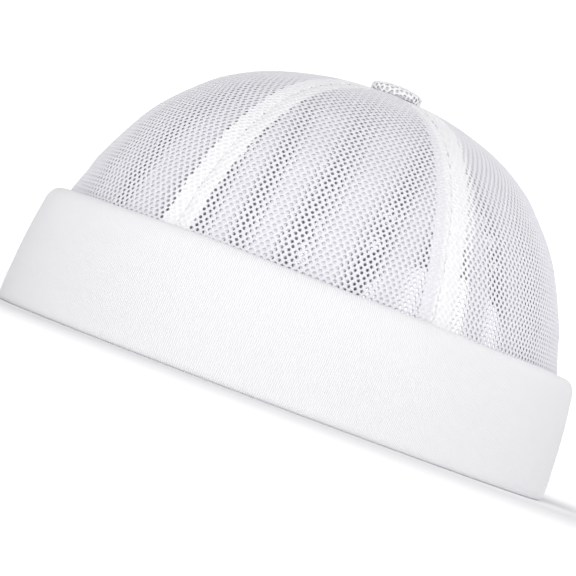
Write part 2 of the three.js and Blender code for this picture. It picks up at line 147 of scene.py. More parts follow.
class ClothSettings(bpy.types.PropertyGroup):
    """Jersey, twill, tape and strap cloth."""

    rib: size("Rib", "Distance between two ribs of the jersey", 0.65)
    twill: size("Twill", "Distance between two lines of the twill", 0.55)
    weave: size("Weave", "Distance between two threads of tape and strap", 0.42)
    jersey_color: tint("Jersey", "Colour of the cuff", 0.96, 0.96, 0.975)
    # Painted shade: the sweatband's pale twill is given a grey for the shade inside the hat.
    twill_shaded_color: tint("Twill", "Colour of the sweatband", 0.8, 0.785, 0.785)
    tape_color: tint("Tape", "Colour of the tapes behind the seams", 0.95, 0.95, 0.965)
    strap_color: tint("Strap", "Colour of the straps and the binding", 0.77, 0.755, 0.785)
    piping_color: tint("Piping", "Colour of the sweatband's piped edge", 0.83, 0.79, 0.75)


class StitchSettings(bpy.types.PropertyGroup):
    """Rows of stitches."""

    length: size("Length", "Length of one stitch", 1.9)
    thread: size("Thread", "Thickness of the thread", 0.36)
    pitch: size("Pitch", "Distance from stitch to stitch", 2.7)
    # Partly painted shade: the sweatband's thread is darkened for the shadow where its stitches sink
    # into the twill.
    color: tint("Thread colour", "Colour of the sweatband's thread", 0.45, 0.42, 0.45)
    pale_color: tint("Pale thread", "Colour of the thread on straps and binding", 0.74, 0.72, 0.75)


class MetalSettings(bpy.types.PropertyGroup):
    """Nickel of the buckle and the eyelet."""

    edge: size("Edge", "Rounding of the sheet's edges", 0.12)
    color: tint("Nickel", "Colour of clean nickel", 0.66, 0.645, 0.63)
    tarnish: tint("Tarnish", "Colour where the nickel has dulled", 0.3, 0.285, 0.275)


class StageSettings(bpy.types.PropertyGroup):
    """Camera and studio."""

    azimuth: FloatProperty(
        name="Azimuth", description="Turn of the camera round the hat", default=math.radians(29),
        subtype="ANGLE")
    roll: FloatProperty(
        name="Roll", description="Tilt of the picture", default=math.radians(20.7), subtype="ANGLE")
    distance: size("Distance", "Distance from the lens to the middle of the hat", 1150)
    lens_height: size("Lens height", "Height of the lens above the floor", 16)
    lens: FloatProperty(name="Lens", description="Focal length in millimetres", default=227)
    floor_color: tint("Floor", "Colour of the floor round the hat", 0.93, 0.93, 0.935)
    glow: FloatProperty(name="Glow", description="Brightness of the backdrop", default=1.0)
    sky: FloatProperty(name="Sky", description="Brightness of the light from above", default=0.24)
    key: FloatProperty(name="Key", description="Power of the main light in watts", default=43)


class BeanieSettings(bpy.types.PropertyGroup):
    """All settings of the beanie."""

    net: PointerProperty(type=NetSettings)
    cloth: PointerProperty(type=ClothSettings)
    stitch: PointerProperty(type=StitchSettings)
    metal: PointerProperty(type=MetalSettings)
    stage: PointerProperty(type=StageSettings)


# Node trees

class Value:
    """A socket of a node. Sums on values add Math nodes."""

    def __init__(self, sketch, made, socket):
        self.sketch = sketch
        self.made = made
        self.socket = socket

    def out(self, name):
        """Another output of the same node."""
        return Value(self.sketch, self.made, self.made.outputs[name])

    def math(self, operation, *others):
        return self.sketch.math(operation, self, *others)

    def __add__(self, other):
        return self.math("ADD", other)

    def __sub__(self, other):
        return self.math("SUBTRACT", other)

    def __mul__(self, other):
        return self.math("MULTIPLY", other)

    def __truediv__(self, other):
        return self.math("DIVIDE", other)

    def __mod__(self, other):
        return self.math("FLOORED_MODULO", other)

    def __rsub__(self, other):
        return self.sketch.math("SUBTRACT", other, self)

    __radd__ = __add__
    __rmul__ = __mul__

    def clamped(self, low, high):
        return self.math("MAXIMUM", low).math("MINIMUM", high)


class Sketch:
    """A node tree being drawn."""

    def __init__(self, tree):
        self.tree = tree

    def node(self, kind, settings=None, inputs=None):
        """Adds a node, its settings first, then a value or link for each socket by name or number."""
        made = self.tree.nodes.new(kind)
        for name, value in (settings or {}).items():
            setattr(made, name, value)
        for key, value in (inputs or {}).items():
            if isinstance(key, int):
                socket = made.inputs[key]
            else:
                socket = next(s for s in made.inputs if s.name == key and s.enabled)
            if isinstance(value, Value):
                self.tree.links.new(value.socket, socket)
            else:
                socket.default_value = value
        first = next((socket for socket in made.outputs if socket.enabled), None)
        return Value(self, made, first)

    def math(self, operation, *operands):
        return self.node("ShaderNodeMath", {"operation": operation}, dict(enumerate(operands)))

    def split(self, vector):
        """X, Y and Z of a vector."""
        parts = self.node("ShaderNodeSeparateXYZ", inputs={0: vector})
        return [parts.out(axis) for axis in "XYZ"]

    def join(self, x, y, z):
        return self.node("ShaderNodeCombineXYZ", inputs={"X": x, "Y": y, "Z": z})

    def mix(self, factor, low, high):
        """A colour between two colours."""
        return self.node(
            "ShaderNodeMix", {"data_type": "RGBA"}, {"Factor": factor, "A": low, "B": high})

    def spot(self):
        """The place on a piece, whose object stands at the origin."""
        return self.node("ShaderNodeTexCoord").out("Object")

    def noise(self, vector, scale, detail=2.0, roughness=0.5):
        return self.node("ShaderNodeTexNoise", {"noise_dimensions": "3D"}, {
            "Vector": vector, "Scale": scale, "Detail": detail, "Roughness": roughness})

    def bump(self, height, distance, strength=1.0):
        return self.node("ShaderNodeBump", inputs={
            "Strength": strength, "Distance": distance, "Height": height})

    def finish_material(self, inputs):
        """Ends a material with one shader."""
        shader = self.node("ShaderNodeBsdfPrincipled", inputs=inputs)
        self.node("ShaderNodeOutputMaterial", inputs={"Surface": shader})

    def weld(self, geometry, distance):
        """Makes points of a geometry one where they are nearer than a distance."""
        return self.node("GeometryNodeMergeByDistance", inputs={
            "Geometry": geometry, "Distance": distance})

    def ports(self, **kinds):
        """Named inputs of a geometry tree, and the socket that each one's name stands for."""
        for name, kind in kinds.items():
            self.tree.interface.new_socket(name=name, in_out="INPUT", socket_type="NodeSocket" + kind)
        group = self.node("NodeGroupInput")
        return {name: group.out(name) for name in kinds}

    def finish_geometry(self, instances, material):
        """Ends a geometry tree: instances made real, with their material."""
        self.tree.interface.new_socket(
            name="Geometry", in_out="OUTPUT", socket_type="NodeSocketGeometry")
        real = self.node("GeometryNodeRealizeInstances", inputs={"Geometry": instances})
        dressed = self.node("GeometryNodeSetMaterial", inputs={"Geometry": real, "Material": material})
        smooth = self.node("GeometryNodeSetShadeSmooth", inputs={0: dressed})
        self.node("NodeGroupOutput", inputs={"Geometry": smooth})


def geometry_tree(name):
    return Sketch(bpy.data.node_groups.new(name, "GeometryNodeTree"))


# Distances at which a net's points are one, first flat and then laid on the crown
FLAT_WELD = 0.01 * MM
LAID_WELD = 0.04 * MM

# Faces of the net below this area are cut away with its edges
SLIVER_AREA = 0.004 * MM * MM

# Share of half a row over which a cell narrows to its tip
CELL_TIP = 0.18


def net_cell(sketch, port, sides):
    """One flat six-sided cell of the net, round a hole of six or eight sides off its middle."""
    strip = sketch.node("GeometryNodeMeshGrid", inputs={
        "Size X": float(sides), "Size Y": 1.0, "Vertices X": sides + 1, "Vertices Y": 2})
    step, row, _ = sketch.split(sketch.node("GeometryNodeInputPosition"))
    angle = step * (-FULL_TURN / sides) + (math.pi / 6 if sides == 6 else 0.0)
    cosine = angle.math("COSINE")
    sine = angle.math("SINE")
    radius = port["Hole"] / 2
    half_row = port["Along"] / 2
    shoulder = half_row * CELL_TIP
    outer_x = port["Across"] * (cosine * 2).clamped(-1, 1)
    # 1 or -1 at the cell's two tips, where the sine is as large, and 0 at its other corners
    at_tip = (sine * 1.01).math("TRUNC")
    outer_y = shoulder * (sine * 2).clamped(-1, 1) + (half_row - shoulder * 2) * at_tip
    outward = row + 0.5
    x = (cosine * radius + port["Pairing"]) * (1 - outward) + outer_x * outward
    y = sine * radius * (1 - outward) + outer_y * outward
    ring = sketch.node("GeometryNodeSetPosition", inputs={
        "Geometry": strip, "Position": sketch.join(x, y, 0.0)})
    return sketch.weld(ring, FLAT_WELD)


def net_lattice(sketch, port, cell):
    """Staggered columns of cells, each second column turned round so that the holes pair up."""
    columns = port["Columns"]
    rows = port["Rows"]
    points = sketch.node("GeometryNodeMeshGrid", inputs={
        "Size X": (columns - 1) * port["Across"], "Size Y": (rows - 1) * port["Along"],
        "Vertices X": columns, "Vertices Y": rows})
    x, y, _ = sketch.split(sketch.node("GeometryNodeInputPosition"))
    odd = (x / port["Across"]).math("ROUND") % 2
    staggered = sketch.join(x, y + odd * port["Along"] / 2 + port["Middle"], 0.0)
    placed = sketch.node("GeometryNodeSetPosition", inputs={"Geometry": points, "Position": staggered})
    turned = sketch.node("FunctionNodeEulerToRotation", inputs={
        0: sketch.join(0.0, 0.0, odd * math.pi)})
    cells = sketch.node("GeometryNodeInstanceOnPoints", inputs={
        "Points": placed, "Instance": cell, "Rotation": turned})
    return sketch.node("GeometryNodeRealizeInstances", inputs={"Geometry": cells})


def net_tree(sides):
    """The net: a flat lattice laid on a surface by the surface's own flat map."""
    sketch = geometry_tree(f"Net of {sides}-sided holes")
    port = sketch.ports(
        Surface="Geometry", Hole="Float", Across="Float", Along="Float", Pairing="Float",
        Middle="Float", Columns="Int", Rows="Int", Material="Material")
    joined = sketch.weld(net_lattice(sketch, port, net_cell(sketch, port, sides)), FLAT_WELD)
    place = sketch.node("GeometryNodeInputPosition")
    flat_map = sketch.node("GeometryNodeInputNamedAttribute", {"data_type": "FLOAT_VECTOR"}, {
        "Name": FLAT_MAP})
    found = sketch.node("GeometryNodeSampleUVSurface", {"data_type": "FLOAT_VECTOR"}, {
        "Mesh": port["Surface"], "Value": place, 2: flat_map, 3: place})
    outside = sketch.node("FunctionNodeBooleanMath", {"operation": "NOT"}, {0: found.out("Is Valid")})
    kept = sketch.node("GeometryNodeDeleteGeometry", {"domain": "POINT"}, {
        "Geometry": joined, "Selection": outside})
    laid = sketch.node("GeometryNodeSetPosition", inputs={"Geometry": kept, "Position": found})
    welded = sketch.weld(laid, LAID_WELD)
    area = sketch.node("GeometryNodeInputMeshFaceArea")
    sliver = sketch.node("FunctionNodeCompare", {"data_type": "FLOAT", "operation": "LESS_THAN"}, {
        "A": area, "B": SLIVER_AREA})
    clean = sketch.node("GeometryNodeDeleteGeometry", {"domain": "FACE"}, {
        "Geometry": welded, "Selection": sliver})
    sketch.finish_geometry(clean, port["Material"])
    return sketch.tree


STITCH_SEED = 4


def stitch_tree():
    """A row of stitches along each line of a mesh of edges, each turned a little by chance."""
    sketch = geometry_tree("Stitches")
    port = sketch.ports(
        Lines="Geometry", Length="Float", Thread="Float", Pitch="Float", Wander="Float",
        Material="Material")
    curve = sketch.node("GeometryNodeMeshToCurve", inputs={0: port["Lines"]})
    spaced = sketch.node("GeometryNodeResampleCurve", {"mode": "LENGTH"}, {
        "Curve": curve, "Length": port["Pitch"]})
    bead = sketch.node("GeometryNodeMeshUVSphere", inputs={"Segments": 6, "Rings": 4, "Radius": 0.5})
    shape = sketch.join(port["Thread"], port["Thread"], port["Length"])
    stitch = sketch.node("GeometryNodeTransform", inputs={"Geometry": bead, "Scale": shape})
    tangent = sketch.node("GeometryNodeInputTangent")
    turned = sketch.node("FunctionNodeAlignRotationToVector", {"axis": "Z"}, {"Vector": tangent})
    chance = sketch.node("FunctionNodeRandomValue", {"data_type": "FLOAT_VECTOR"}, {
        "Min": (-1.0, -1.0, -1.0), "Max": (1.0, 1.0, 1.0), "Seed": STITCH_SEED})
    wander = sketch.node("ShaderNodeVectorMath", {"operation": "SCALE"}, {
        0: chance, "Scale": port["Wander"]})
    strayed = sketch.node("FunctionNodeRotateRotation", {"rotation_space": "LOCAL"}, {
        0: turned, 1: sketch.node("FunctionNodeEulerToRotation", inputs={0: wander})})
    row = sketch.node("GeometryNodeInstanceOnPoints", inputs={
        "Points": spaced, "Instance": stitch, "Rotation": strayed})
    sketch.finish_geometry(row, port["Material"])
    return sketch.tree


def evaluated_mesh(piece):
    """A plain mesh of a piece as its modifiers make it."""
    graph = bpy.context.evaluated_depsgraph_get()
    return bpy.data.meshes.new_from_object(piece.evaluated_get(graph))


def grow(name, source, tree, values, wall=None):
    """A plain mesh object from a geometry tree run on a source mesh, with a wall if one is given."""
    carrier = bpy.data.objects.new(name + "_source", source)
    bpy.context.collection.objects.link(carrier)
    modifier = carrier.modifiers.new("Tree", "NODES")
    modifier.node_group = tree
    sockets = {
        item.name: item.identifier for item in tree.interface.items_tree if item.in_out == "INPUT"}
    for key, value in values.items():
        modifier[sockets[key]] = value
    if wall:
        solidify = carrier.modifiers.new("Wall", "SOLIDIFY")
        solidify.thickness = wall
        solidify.offset = -1
    mesh = evaluated_mesh(carrier)
    bpy.data.objects.remove(carrier)
    mesh.name = name
    return show(name, mesh)


# Meshes

def show(name, mesh):
    piece = bpy.data.objects.new(name, mesh)
    bpy.context.collection.objects.link(piece)
    return piece


def build_mesh(name, points, faces, flat, material=None, smooth=True):
    """A mesh with a flat map in metres, given for each corner of each face."""
    mesh = bpy.data.meshes.new(name)
    mesh.from_pydata(points.reshape(-1, 3).tolist(), [], faces)
    layer = mesh.uv_layers.new(name=FLAT_MAP)
    layer.data.foreach_set("uv", np.asarray(flat, float).ravel())
    if material:
        mesh.materials.append(material)
    mesh.polygons.foreach_set("use_smooth", [smooth] * len(mesh.polygons))
    mesh.update()
    return mesh


def quads(stations, count, closed):
    """Corners of the faces between stations of points, as station and place pairs."""
    places = count if closed else count - 1
    station, place = np.meshgrid(np.arange(stations - 1), np.arange(places), indexing="ij")
    station, place = station.ravel(), place.ravel()
    return [(station, place), (station, place + 1), (station + 1, place + 1), (station + 1, place)]


def sheet_mesh(name, points, flat, material=None):
    """An open sheet through a grid of points."""
    stations, count = points.shape[:2]
    corners = quads(stations, count, False)
    faces = np.stack([s * count + p for s, p in corners], axis=1)
    maps = np.stack([flat[s, p] for s, p in corners], axis=1)
    return build_mesh(name, points, faces.tolist(), maps, material)


def loft(name, rings, flat, material, crisp=math.radians(50), slab=False):
    """A closed body through closed rings. The flat map has one more place than a ring.

    Each end is one face, or for a slab a strip of faces between its two long sides."""
    stations, count = rings.shape[:2]
    corners = quads(stations, count, True)
    faces = np.stack([s * count + p % count for s, p in corners], axis=1)
    maps = [np.stack([flat[s, p] for s, p in corners], axis=1).reshape(-1, 2)]
    caps = [list(range(count))]
    if slab:
        caps = [
            [place, place + 1, count - 2 - place, count - 1 - place]
            for place in range(count // 2 - 1)]
    ends = []
    for station in (0, stations - 1):
        ends += [[station * count + place for place in cap] for cap in caps]
        maps += [flat[station, cap] for cap in caps]
    mesh = build_mesh(name, rings, faces.tolist() + ends, np.concatenate(maps), material)
    face_outward(mesh)
    mesh.set_sharp_from_angle(angle=crisp)
    return show(name, mesh)


def face_outward(mesh):
    work = bmesh.new()
    work.from_mesh(mesh)
    bmesh.ops.recalc_face_normals(work, faces=work.faces)
    work.to_mesh(mesh)
    work.free()


def lathe(name, outline, sides, material, place=Matrix(), crisp=math.radians(40)):
    """A body turned about Z.

    Its outline gives radius and height, and starts and ends on the axis or else closes."""
    turn = np.linspace(0, FULL_TURN, sides, endpoint=False)
    outline = np.array(outline, float)
    closed = outline[0][0] > 0
    work = bmesh.new()
    columns = [
        [work.verts.new((r * math.cos(a), r * math.sin(a), z)) for r, z in outline] for a in turn]
    reach = len(outline) if closed else len(outline) - 1
    for side in range(sides):
        here, after = columns[side], columns[(side + 1) % sides]
        for place_on in range(reach):
            nearby = (place_on + 1) % len(outline)
            work.faces.new((here[place_on], after[place_on], after[nearby], here[nearby]))
    bmesh.ops.remove_doubles(work, verts=work.verts, dist=DOUBLE)
    bmesh.ops.recalc_face_normals(work, faces=work.faces)
    for face in work.faces:
        face.smooth = True
    mesh = bpy.data.meshes.new(name)
    work.to_mesh(mesh)
    work.free()
    mesh.transform(place)
    mesh.materials.append(material)
    mesh.set_sharp_from_angle(angle=crisp)
    return show(name, mesh)


def lines_mesh(name, lines):
    """A mesh of edges only, one chain for each line of points."""
    points = np.concatenate(lines)
    starts = np.cumsum([0] + [len(line) for line in lines[:-1]])
    edges = [(s + k, s + k + 1) for s, line in zip(starts, lines) for k in range(len(line) - 1)]
    mesh = bpy.data.meshes.new(name)
    mesh.from_pydata(points.tolist(), [(int(a), int(b)) for a, b in edges], [])
    return mesh


# The hat's surfaces, as the solids have them

DOME_REACH = RIM_REACH_Y - TUCKED_PROFILE[-1][1] * MM
DOME_RISE = CROWN_TOP - CUFF_HEIGHT
SIDE_DIFFERENCE = RIM_REACH_Y - RIM_REACH_X
PROFILE = np.array(
    [(RIM_REACH_Y - inset * MM, height * MM) for height, inset in TUCKED_PROFILE]
    + [(out * DOME_REACH, CUFF_HEIGHT + up * DOME_RISE) for up, out in DOME_PROFILE])


def crown_row(level):
    """Reach and height of the crown's line at a level from 0 at the rim to 1 on top."""
    last = len(PROFILE) - 1
    place = np.clip(level, 0, 1) * last
    start = np.minimum(np.floor(place).astype(int), last - 1)
    share = (place - start)[..., None]
    before, here, after, beyond = (PROFILE[np.clip(start + step, 0, last)] for step in (-1, 0, 1, 2))
    leave = (after - before) / 2
    arrive = (beyond - here) / 2
    bend = 3 * (after - here) - 2 * leave - arrive
    twist = 2 * (here - after) + leave + arrive
    return here + leave * share + bend * share ** 2 + twist * share ** 3


LEVELS = np.linspace(0, 1, 4001)
LEVEL_ROWS = crown_row(LEVELS)


def level_at(height):
    return np.interp(height, LEVEL_ROWS[:, 1], LEVELS)


def level_of_reach(reach):
    return np.interp(-reach, -LEVEL_ROWS[:, 0], LEVELS)


def side_reach(reach):
    return np.maximum(reach - SIDE_DIFFERENCE, reach * (1 - SIDE_DIFFERENCE / DOME_REACH))


def dome_rise(height):
    """Share of the way from the cuff's height to the crown's top."""
    return np.clip((height - CUFF_HEIGHT) / DOME_RISE, 0, 1)


def crown_swell(turn, rise):
    """How far a panel bulges between its seams."""
    return CROWN_SWELL * np.sin(turn * PANELS / 2) ** 2 * np.sin(np.pi * rise)


def crown_skin(turn, level):
    """The crown's outer face: the turn from the front, and the level."""
    turn, level = np.broadcast_arrays(turn, level)
    row = crown_row(level)
    reach, height = row[..., 0], row[..., 1]
    swell = crown_swell(turn, dome_rise(height))
    back = CROWN_BACK_LEAN * np.maximum(0, 1 - reach / DOME_REACH)
    return np.stack([
        (side_reach(reach) + swell) * np.sin(turn),
        HAT_SHIFT + back - (reach + swell) * np.cos(turn),
        height,
    ], axis=-1)


def crown_height(across, along):
    """Height of the crown near its top, by distances from its middle."""
    reach = np.hypot(across * DOME_REACH / (DOME_REACH - SIDE_DIFFERENCE), along)
    return crown_row(level_of_reach(reach))[..., 1]


# Rounds after which the turn that a side distance stands for has settled
BACK_SKIN_ROUNDS = 6


def back_skin(x, height):
    """The back of the crown's outer face by side distance and height."""
    x, height = np.broadcast_arrays(x, height)
    level = level_at(height)
    reach = side_reach(crown_row(level)[..., 0])
    rise = dome_rise(height)
    turn = np.pi - np.arcsin(x / reach)
    for _ in range(BACK_SKIN_ROUNDS):
        turn = np.pi - np.arcsin(np.clip(x / (reach + crown_swell(turn, rise)), -1, 1))
    return crown_skin(turn, level)


def strap_skin(x, height):
    """The surface that the straps follow: flat at the buckle, then rounding out to the crown."""
    x, height = np.broadcast_arrays(x, height)
    side = np.abs(x)
    share = np.clip((side - STRAP_FLAT_HALF) / (ARCH_HALF_WIDTH - STRAP_FLAT_HALF), 0, 1)
    eased = ARCH_HALF_WIDTH * share + STRAP_FLAT_HALF * share ** 2 * (1 - share)
    point = back_skin(eased + np.maximum(0, side - ARCH_HALF_WIDTH), height)
    point[..., 0] = x
    return point


def offset(surface, u, v, distance, step=0.5e-3):
    """A point of a surface moved along u times v.

    That is out of the crown where u is the turn, and into it where u is the side distance."""
    across = surface(u + step, v) - surface(u - step, v)
    up = surface(u, v + step) - surface(u, v - step)
    normal = np.cross(across, up)
    normal /= np.linalg.norm(normal, axis=-1, keepdims=True)
    return surface(u, v) + normal * np.asarray(distance)[..., None]


def smoothstep(value, low, high):
    share = np.clip((value - low) / (high - low), 0, 1)
    return share ** 2 * (3 - 2 * share)


def arch_half_width(height):
    return ARCH_HALF_WIDTH - (ARCH_HALF_WIDTH - ARCH_SPRING_HALF_WIDTH) * height / ARCH_SPRING_HEIGHT


def bezier(*corners, steps):
    """Points on a Bézier curve after its first."""
    share = np.linspace(0, 1, steps + 1)[1:, None]
    order = len(corners) - 1
    return sum(
        math.comb(order, k) * (1 - share) ** (order - k) * share ** k * np.array(corner)
        for k, corner in enumerate(corners))


def arch_line(foot, side_steps, round_steps):
    """The opening's edge in X and Z, from the right foot over the top to the left foot."""
    slope = (ARCH_HALF_WIDTH - ARCH_SPRING_HALF_WIDTH) / ARCH_SPRING_HEIGHT
    shoulder = ARCH_SPRING_HALF_WIDTH - (ARCH_TOP - ARCH_SPRING_HEIGHT) * slope
    height = np.linspace(foot, ARCH_SPRING_HEIGHT, side_steps + 1)
    side = np.stack([arch_half_width(height), height], axis=1)
    spring = (ARCH_SPRING_HALF_WIDTH, ARCH_SPRING_HEIGHT)
    crest = bezier(spring, (shoulder, ARCH_TOP), (0, ARCH_TOP), steps=round_steps)
    half = np.concatenate([side, crest])
    return np.concatenate([half, half[-2::-1] * (-1, 1)])


def arch_room(x, height):
    """Distance outward from the opening's edge, below zero inside it."""
    line = arch_line(-20 * MM, 12, 24)
    here = np.stack([x, height], axis=-1)[..., None, :]
    start, run = line[:-1], np.diff(line, axis=0)
    share = np.clip(((here - start) * run).sum(-1) / (run ** 2).sum(-1), 0, 1)
    away = here - start - share[..., None] * run
    nearest = np.argmin((away ** 2).sum(-1), axis=-1)[..., None]
    gap = np.take_along_axis(away, nearest[..., None], axis=-2)[..., 0, :]
    course = run[nearest[..., 0]]
    facing = gap[..., 0] * course[..., 1] - gap[..., 1] * course[..., 0]
    return np.sign(facing) * np.linalg.norm(gap, axis=-1)


def waves(turn, *terms):
    """A sum of waves round the hat, each given by its height, its count and its start."""
    return sum(rise * np.sin(count * turn + start) for rise, count, start in terms)


def run_lengths(points, axis):
    """Distance gone along one axis of a grid of points."""
    steps = np.linalg.norm(np.diff(points, axis=axis), axis=-1)
    start = np.zeros_like(np.take(steps, [0], axis=axis))
    return np.concatenate([start, np.cumsum(steps, axis=axis)], axis=axis)


# Finishes

FINISH_NAME = "beanie "

# How often the noises repeat in a metre
CLOUD_SCALE = 45.0
FUZZ_SCALE = 2600.0
STRAND_SCALE = 1500.0
DULL_SCALE = 420.0
SCRATCH_SCALE = (900.0, 900.0, 9000.0)

# Where a cloth's drift of colour begins, and how much of its relief is fuzz
CLOUD_START = 0.3
FUZZ_SHARE = 0.35

# Jersey: a loop's length and the shift between loops, as shares of a rib
LOOP_LENGTH = 0.8
LOOP_SHIFT = 0.35

# Twill: the lean of its lines and of the thread across them, and that thread's share of a line
TWILL_LEAN = 0.6
TWILL_THREAD_LEAN = 1.4
TWILL_THREAD_SHARE = 0.6

# Nickel: where its clouds begin to dull it, how fast, and how much
DULL_START = 0.52
DULL_STEEPNESS = 4
DULL_SHARE = 0.4

# Where the net over a tape takes the tape's paler colour: painted light of the white tape behind it
TINT_SPREAD = 0.8 * MM
TINT_FADE = 1.2 * MM


def new_material(name, color):
    material = bpy.data.materials.new(FINISH_NAME + name)
    material.use_nodes = True
    material.node_tree.nodes.clear()
    material.diffuse_color = (*color, 1)
    return material, Sketch(material.node_tree)


def finish_yarn(sketch, color, roughness, sheen, relief):
    """Ends a cloth or yarn with a matt shader."""
    sketch.finish_material({
        "Base Color": color, "Roughness": roughness, "Specular IOR Level": 0.25,
        "Sheen Weight": sheen, "Sheen Roughness": 0.6, "Normal": relief})


def finish_cloth(sketch, color, shade, relief, depth, groove_shade=0.0, sheen=0.25, drift=0.5):
    """Ends a cloth: a relief of a real depth, and a colour that drifts at random and is darkened in the
    grooves as painted shade.
    """
    spot = sketch.spot()
    cloud = sketch.noise(spot, CLOUD_SCALE, detail=3.0)
    fuzz = sketch.noise(spot, FUZZ_SCALE)
    deeper = tuple(channel * shade for channel in color)
    # Painted shade: the colour darkens where the relief is low, in the grooves, on top of its random
    # drift.
    share = ((cloud - CLOUD_START) * drift + (1 - relief) * groove_shade).clamped(0, 1)
    toned = sketch.mix(share, (*color, 1), (*deeper, 1))
    finish_yarn(sketch, toned, 0.92, sheen, sketch.bump(relief + fuzz * FUZZ_SHARE, depth))


def flat_place(sketch):
    """Distance along and across a piece's cloth, in metres."""
    place = sketch.node("ShaderNodeUVMap", {"uv_map": FLAT_MAP})
    along, across, _ = sketch.split(place)
    return along, across


def jersey(settings):
    """Fine upright ribs, each a column of small loops."""
    material, sketch = new_material("jersey", settings.jersey_color)
    along, across = flat_place(sketch)
    rib = (along * (math.pi / settings.rib)).math("SINE").math("ABSOLUTE")
    shifted = across + rib * (LOOP_SHIFT * settings.rib)
    loops = (shifted * (FULL_TURN / (LOOP_LENGTH * settings.rib))).math("SINE")
    relief = rib * 0.94 + loops * 0.06
    # Painted shade darkens the grooves between the ribs.
    finish_cloth(sketch, settings.jersey_color, 0.8, relief, 0.12 * MM, groove_shade=0.6, drift=0.12)
    return material


def twill(settings):
    """Slanted lines, and a fine thread across them."""
    # Its colour carries painted shade of the inside of the hat.
    material, sketch = new_material("twill", settings.twill_shaded_color)
    along, across = flat_place(sketch)
    slant = ((along + across * TWILL_LEAN) * (FULL_TURN / settings.twill)).math("SINE")
    crossing = along - across * TWILL_THREAD_LEAN
    thread = (crossing * (FULL_TURN / (TWILL_THREAD_SHARE * settings.twill))).math("SINE")
    relief = slant * 0.35 + thread * 0.15 + 0.5
    finish_cloth(
        sketch, settings.twill_shaded_color, 0.84, relief, 0.1 * MM, groove_shade=0.3, sheen=0.15, drift=0.7)
    return material


def plain_weave(name, settings, color, shade):
    """Threads over and under each other."""
    material, sketch = new_material(name, color)
    along, across = flat_place(sketch)
    turns = FULL_TURN / (2 * settings.weave)
    over = (along * turns).math("SINE") * (across * turns).math("SINE")
    finish_cloth(sketch, color, shade, over.math("ABSOLUTE"), 0.09 * MM, groove_shade=0.35)
    return material


def knit(name, color, over_tape=None):
    """Yarn too fine to show its loops. Net takes the tape's paler colour where a tape lies behind it,
    as painted light of the white tape showing through.
    """
    material, sketch = new_material(name, color)
    spot = sketch.spot()
    base = (*color, 1)
    if over_tape:
        base = sketch.mix(near_seam(sketch, spot), base, (*over_tape, 1))
    finish_yarn(sketch, base, 0.9, 0.2, sketch.bump(sketch.noise(spot, STRAND_SCALE), 0.1 * MM))
    return material


def near_seam(sketch, spot):
    """1 over the tapes behind the crown's seams, and 0 between them: where the net's painted light
    lies.
    """
    x, y, _ = sketch.split(spot)
    sideways = x * (DOME_REACH / (DOME_REACH - SIDE_DIFFERENCE))
    forward = (HAT_SHIFT + CROWN_BACK_LEAN) - y
    wedge = sideways.math("ARCTAN2", forward).math("PINGPONG", math.pi / PANELS)
    radius = (sideways * sideways + forward * forward).math("SQRT")
    from_seam = radius * wedge.math("SINE")
    return ((TAPE_WIDTH / 2 + TINT_SPREAD - from_seam) / TINT_FADE).clamped(0, 1)


def nickel(settings):
    """Plated sheet: clean on the whole, with dull clouds and fine scratches."""
    material, sketch = new_material("nickel", settings.color)
    spot = sketch.spot()
    clouds = sketch.noise(spot, DULL_SCALE, detail=5.0, roughness=0.65)
    dull = ((clouds - DULL_START) * DULL_STEEPNESS).clamped(0, 1)
    drawn_out = sketch.node("ShaderNodeMapping", inputs={"Vector": spot, "Scale": SCRATCH_SCALE})
    scratches = sketch.noise(drawn_out, 1.0, detail=3.0)
    sketch.finish_material({
        "Base Color": sketch.mix(dull * DULL_SHARE, (*settings.color, 1), (*settings.tarnish, 1)),
        "Metallic": 1.0, "Roughness": dull * 0.22 + scratches * 0.12 + 0.14,
        "Normal": sketch.bump(scratches, 0.03 * MM, strength=0.35)})
    return material


def finish(name):
    """A finish by name, made once."""
    made = bpy.data.materials.get(FINISH_NAME + name)
    if made:
        return made
    beanie = bpy.context.scene.beanie
    cloth = beanie.cloth
    makers = {
        "jersey": lambda: jersey(cloth),
        "twill": lambda: twill(cloth),
        "seam_tape": lambda: plain_weave("seam_tape", cloth, cloth.tape_color, 0.97),
        "strap_cotton": lambda: plain_weave("strap_cotton", cloth, cloth.strap_color, 0.94),
        "net": lambda: knit("net", beanie.net.color, cloth.tape_color),
        "piping": lambda: knit("piping", cloth.piping_color),
        "thread": lambda: knit("thread", beanie.stitch.color),
        "pale thread": lambda: knit("pale thread", beanie.stitch.pale_color),
        "nickel": lambda: nickel(beanie.metal),
    }
    return makers[name]()


def settle(piece, slot, *nodes, body="hat"):
    """Hands a finished piece over to the frame."""
    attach(piece, body)
    if nodes:
        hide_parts(*nodes)


# Crown

SEAM_DIP = 0.42 * MM
SEAM_DIP_WIDTH = 1.6 * MM
SEAM_ROOM = 0.03 * MM
SEAM_MARGIN = 2.6 * MM
NET_FOOT = 2.6 * MM
NET_HIDDEN_BELOW = 36.4 * MM
NET_BACK_HALF_WIDTH = 60 * MM
NET_ARCH_ROOM = 2.4 * MM
NET_TOP_RADIUS = 3.2 * MM
BACKING_ROOM = 4.6 * MM

# Rows of a panel's sheet from its foot to the top, and places across it
PANEL_ROWS = 90
PANEL_PLACES = 61

# The inner face's pull: a steady share across, and the height and length of a wave across and up
BACKING_STRETCH = 0.138
BACKING_WAVE_ACROSS = (0.75 * MM, 15 * MM)
BACKING_WAVE_UP = (0.22 * MM, 19 * MM)


def seam_dip(from_seam):
    """How deep the crown dips where two panels are sewn together."""
    return SEAM_DIP * np.exp(-(from_seam / SEAM_DIP_WIDTH) ** 2)


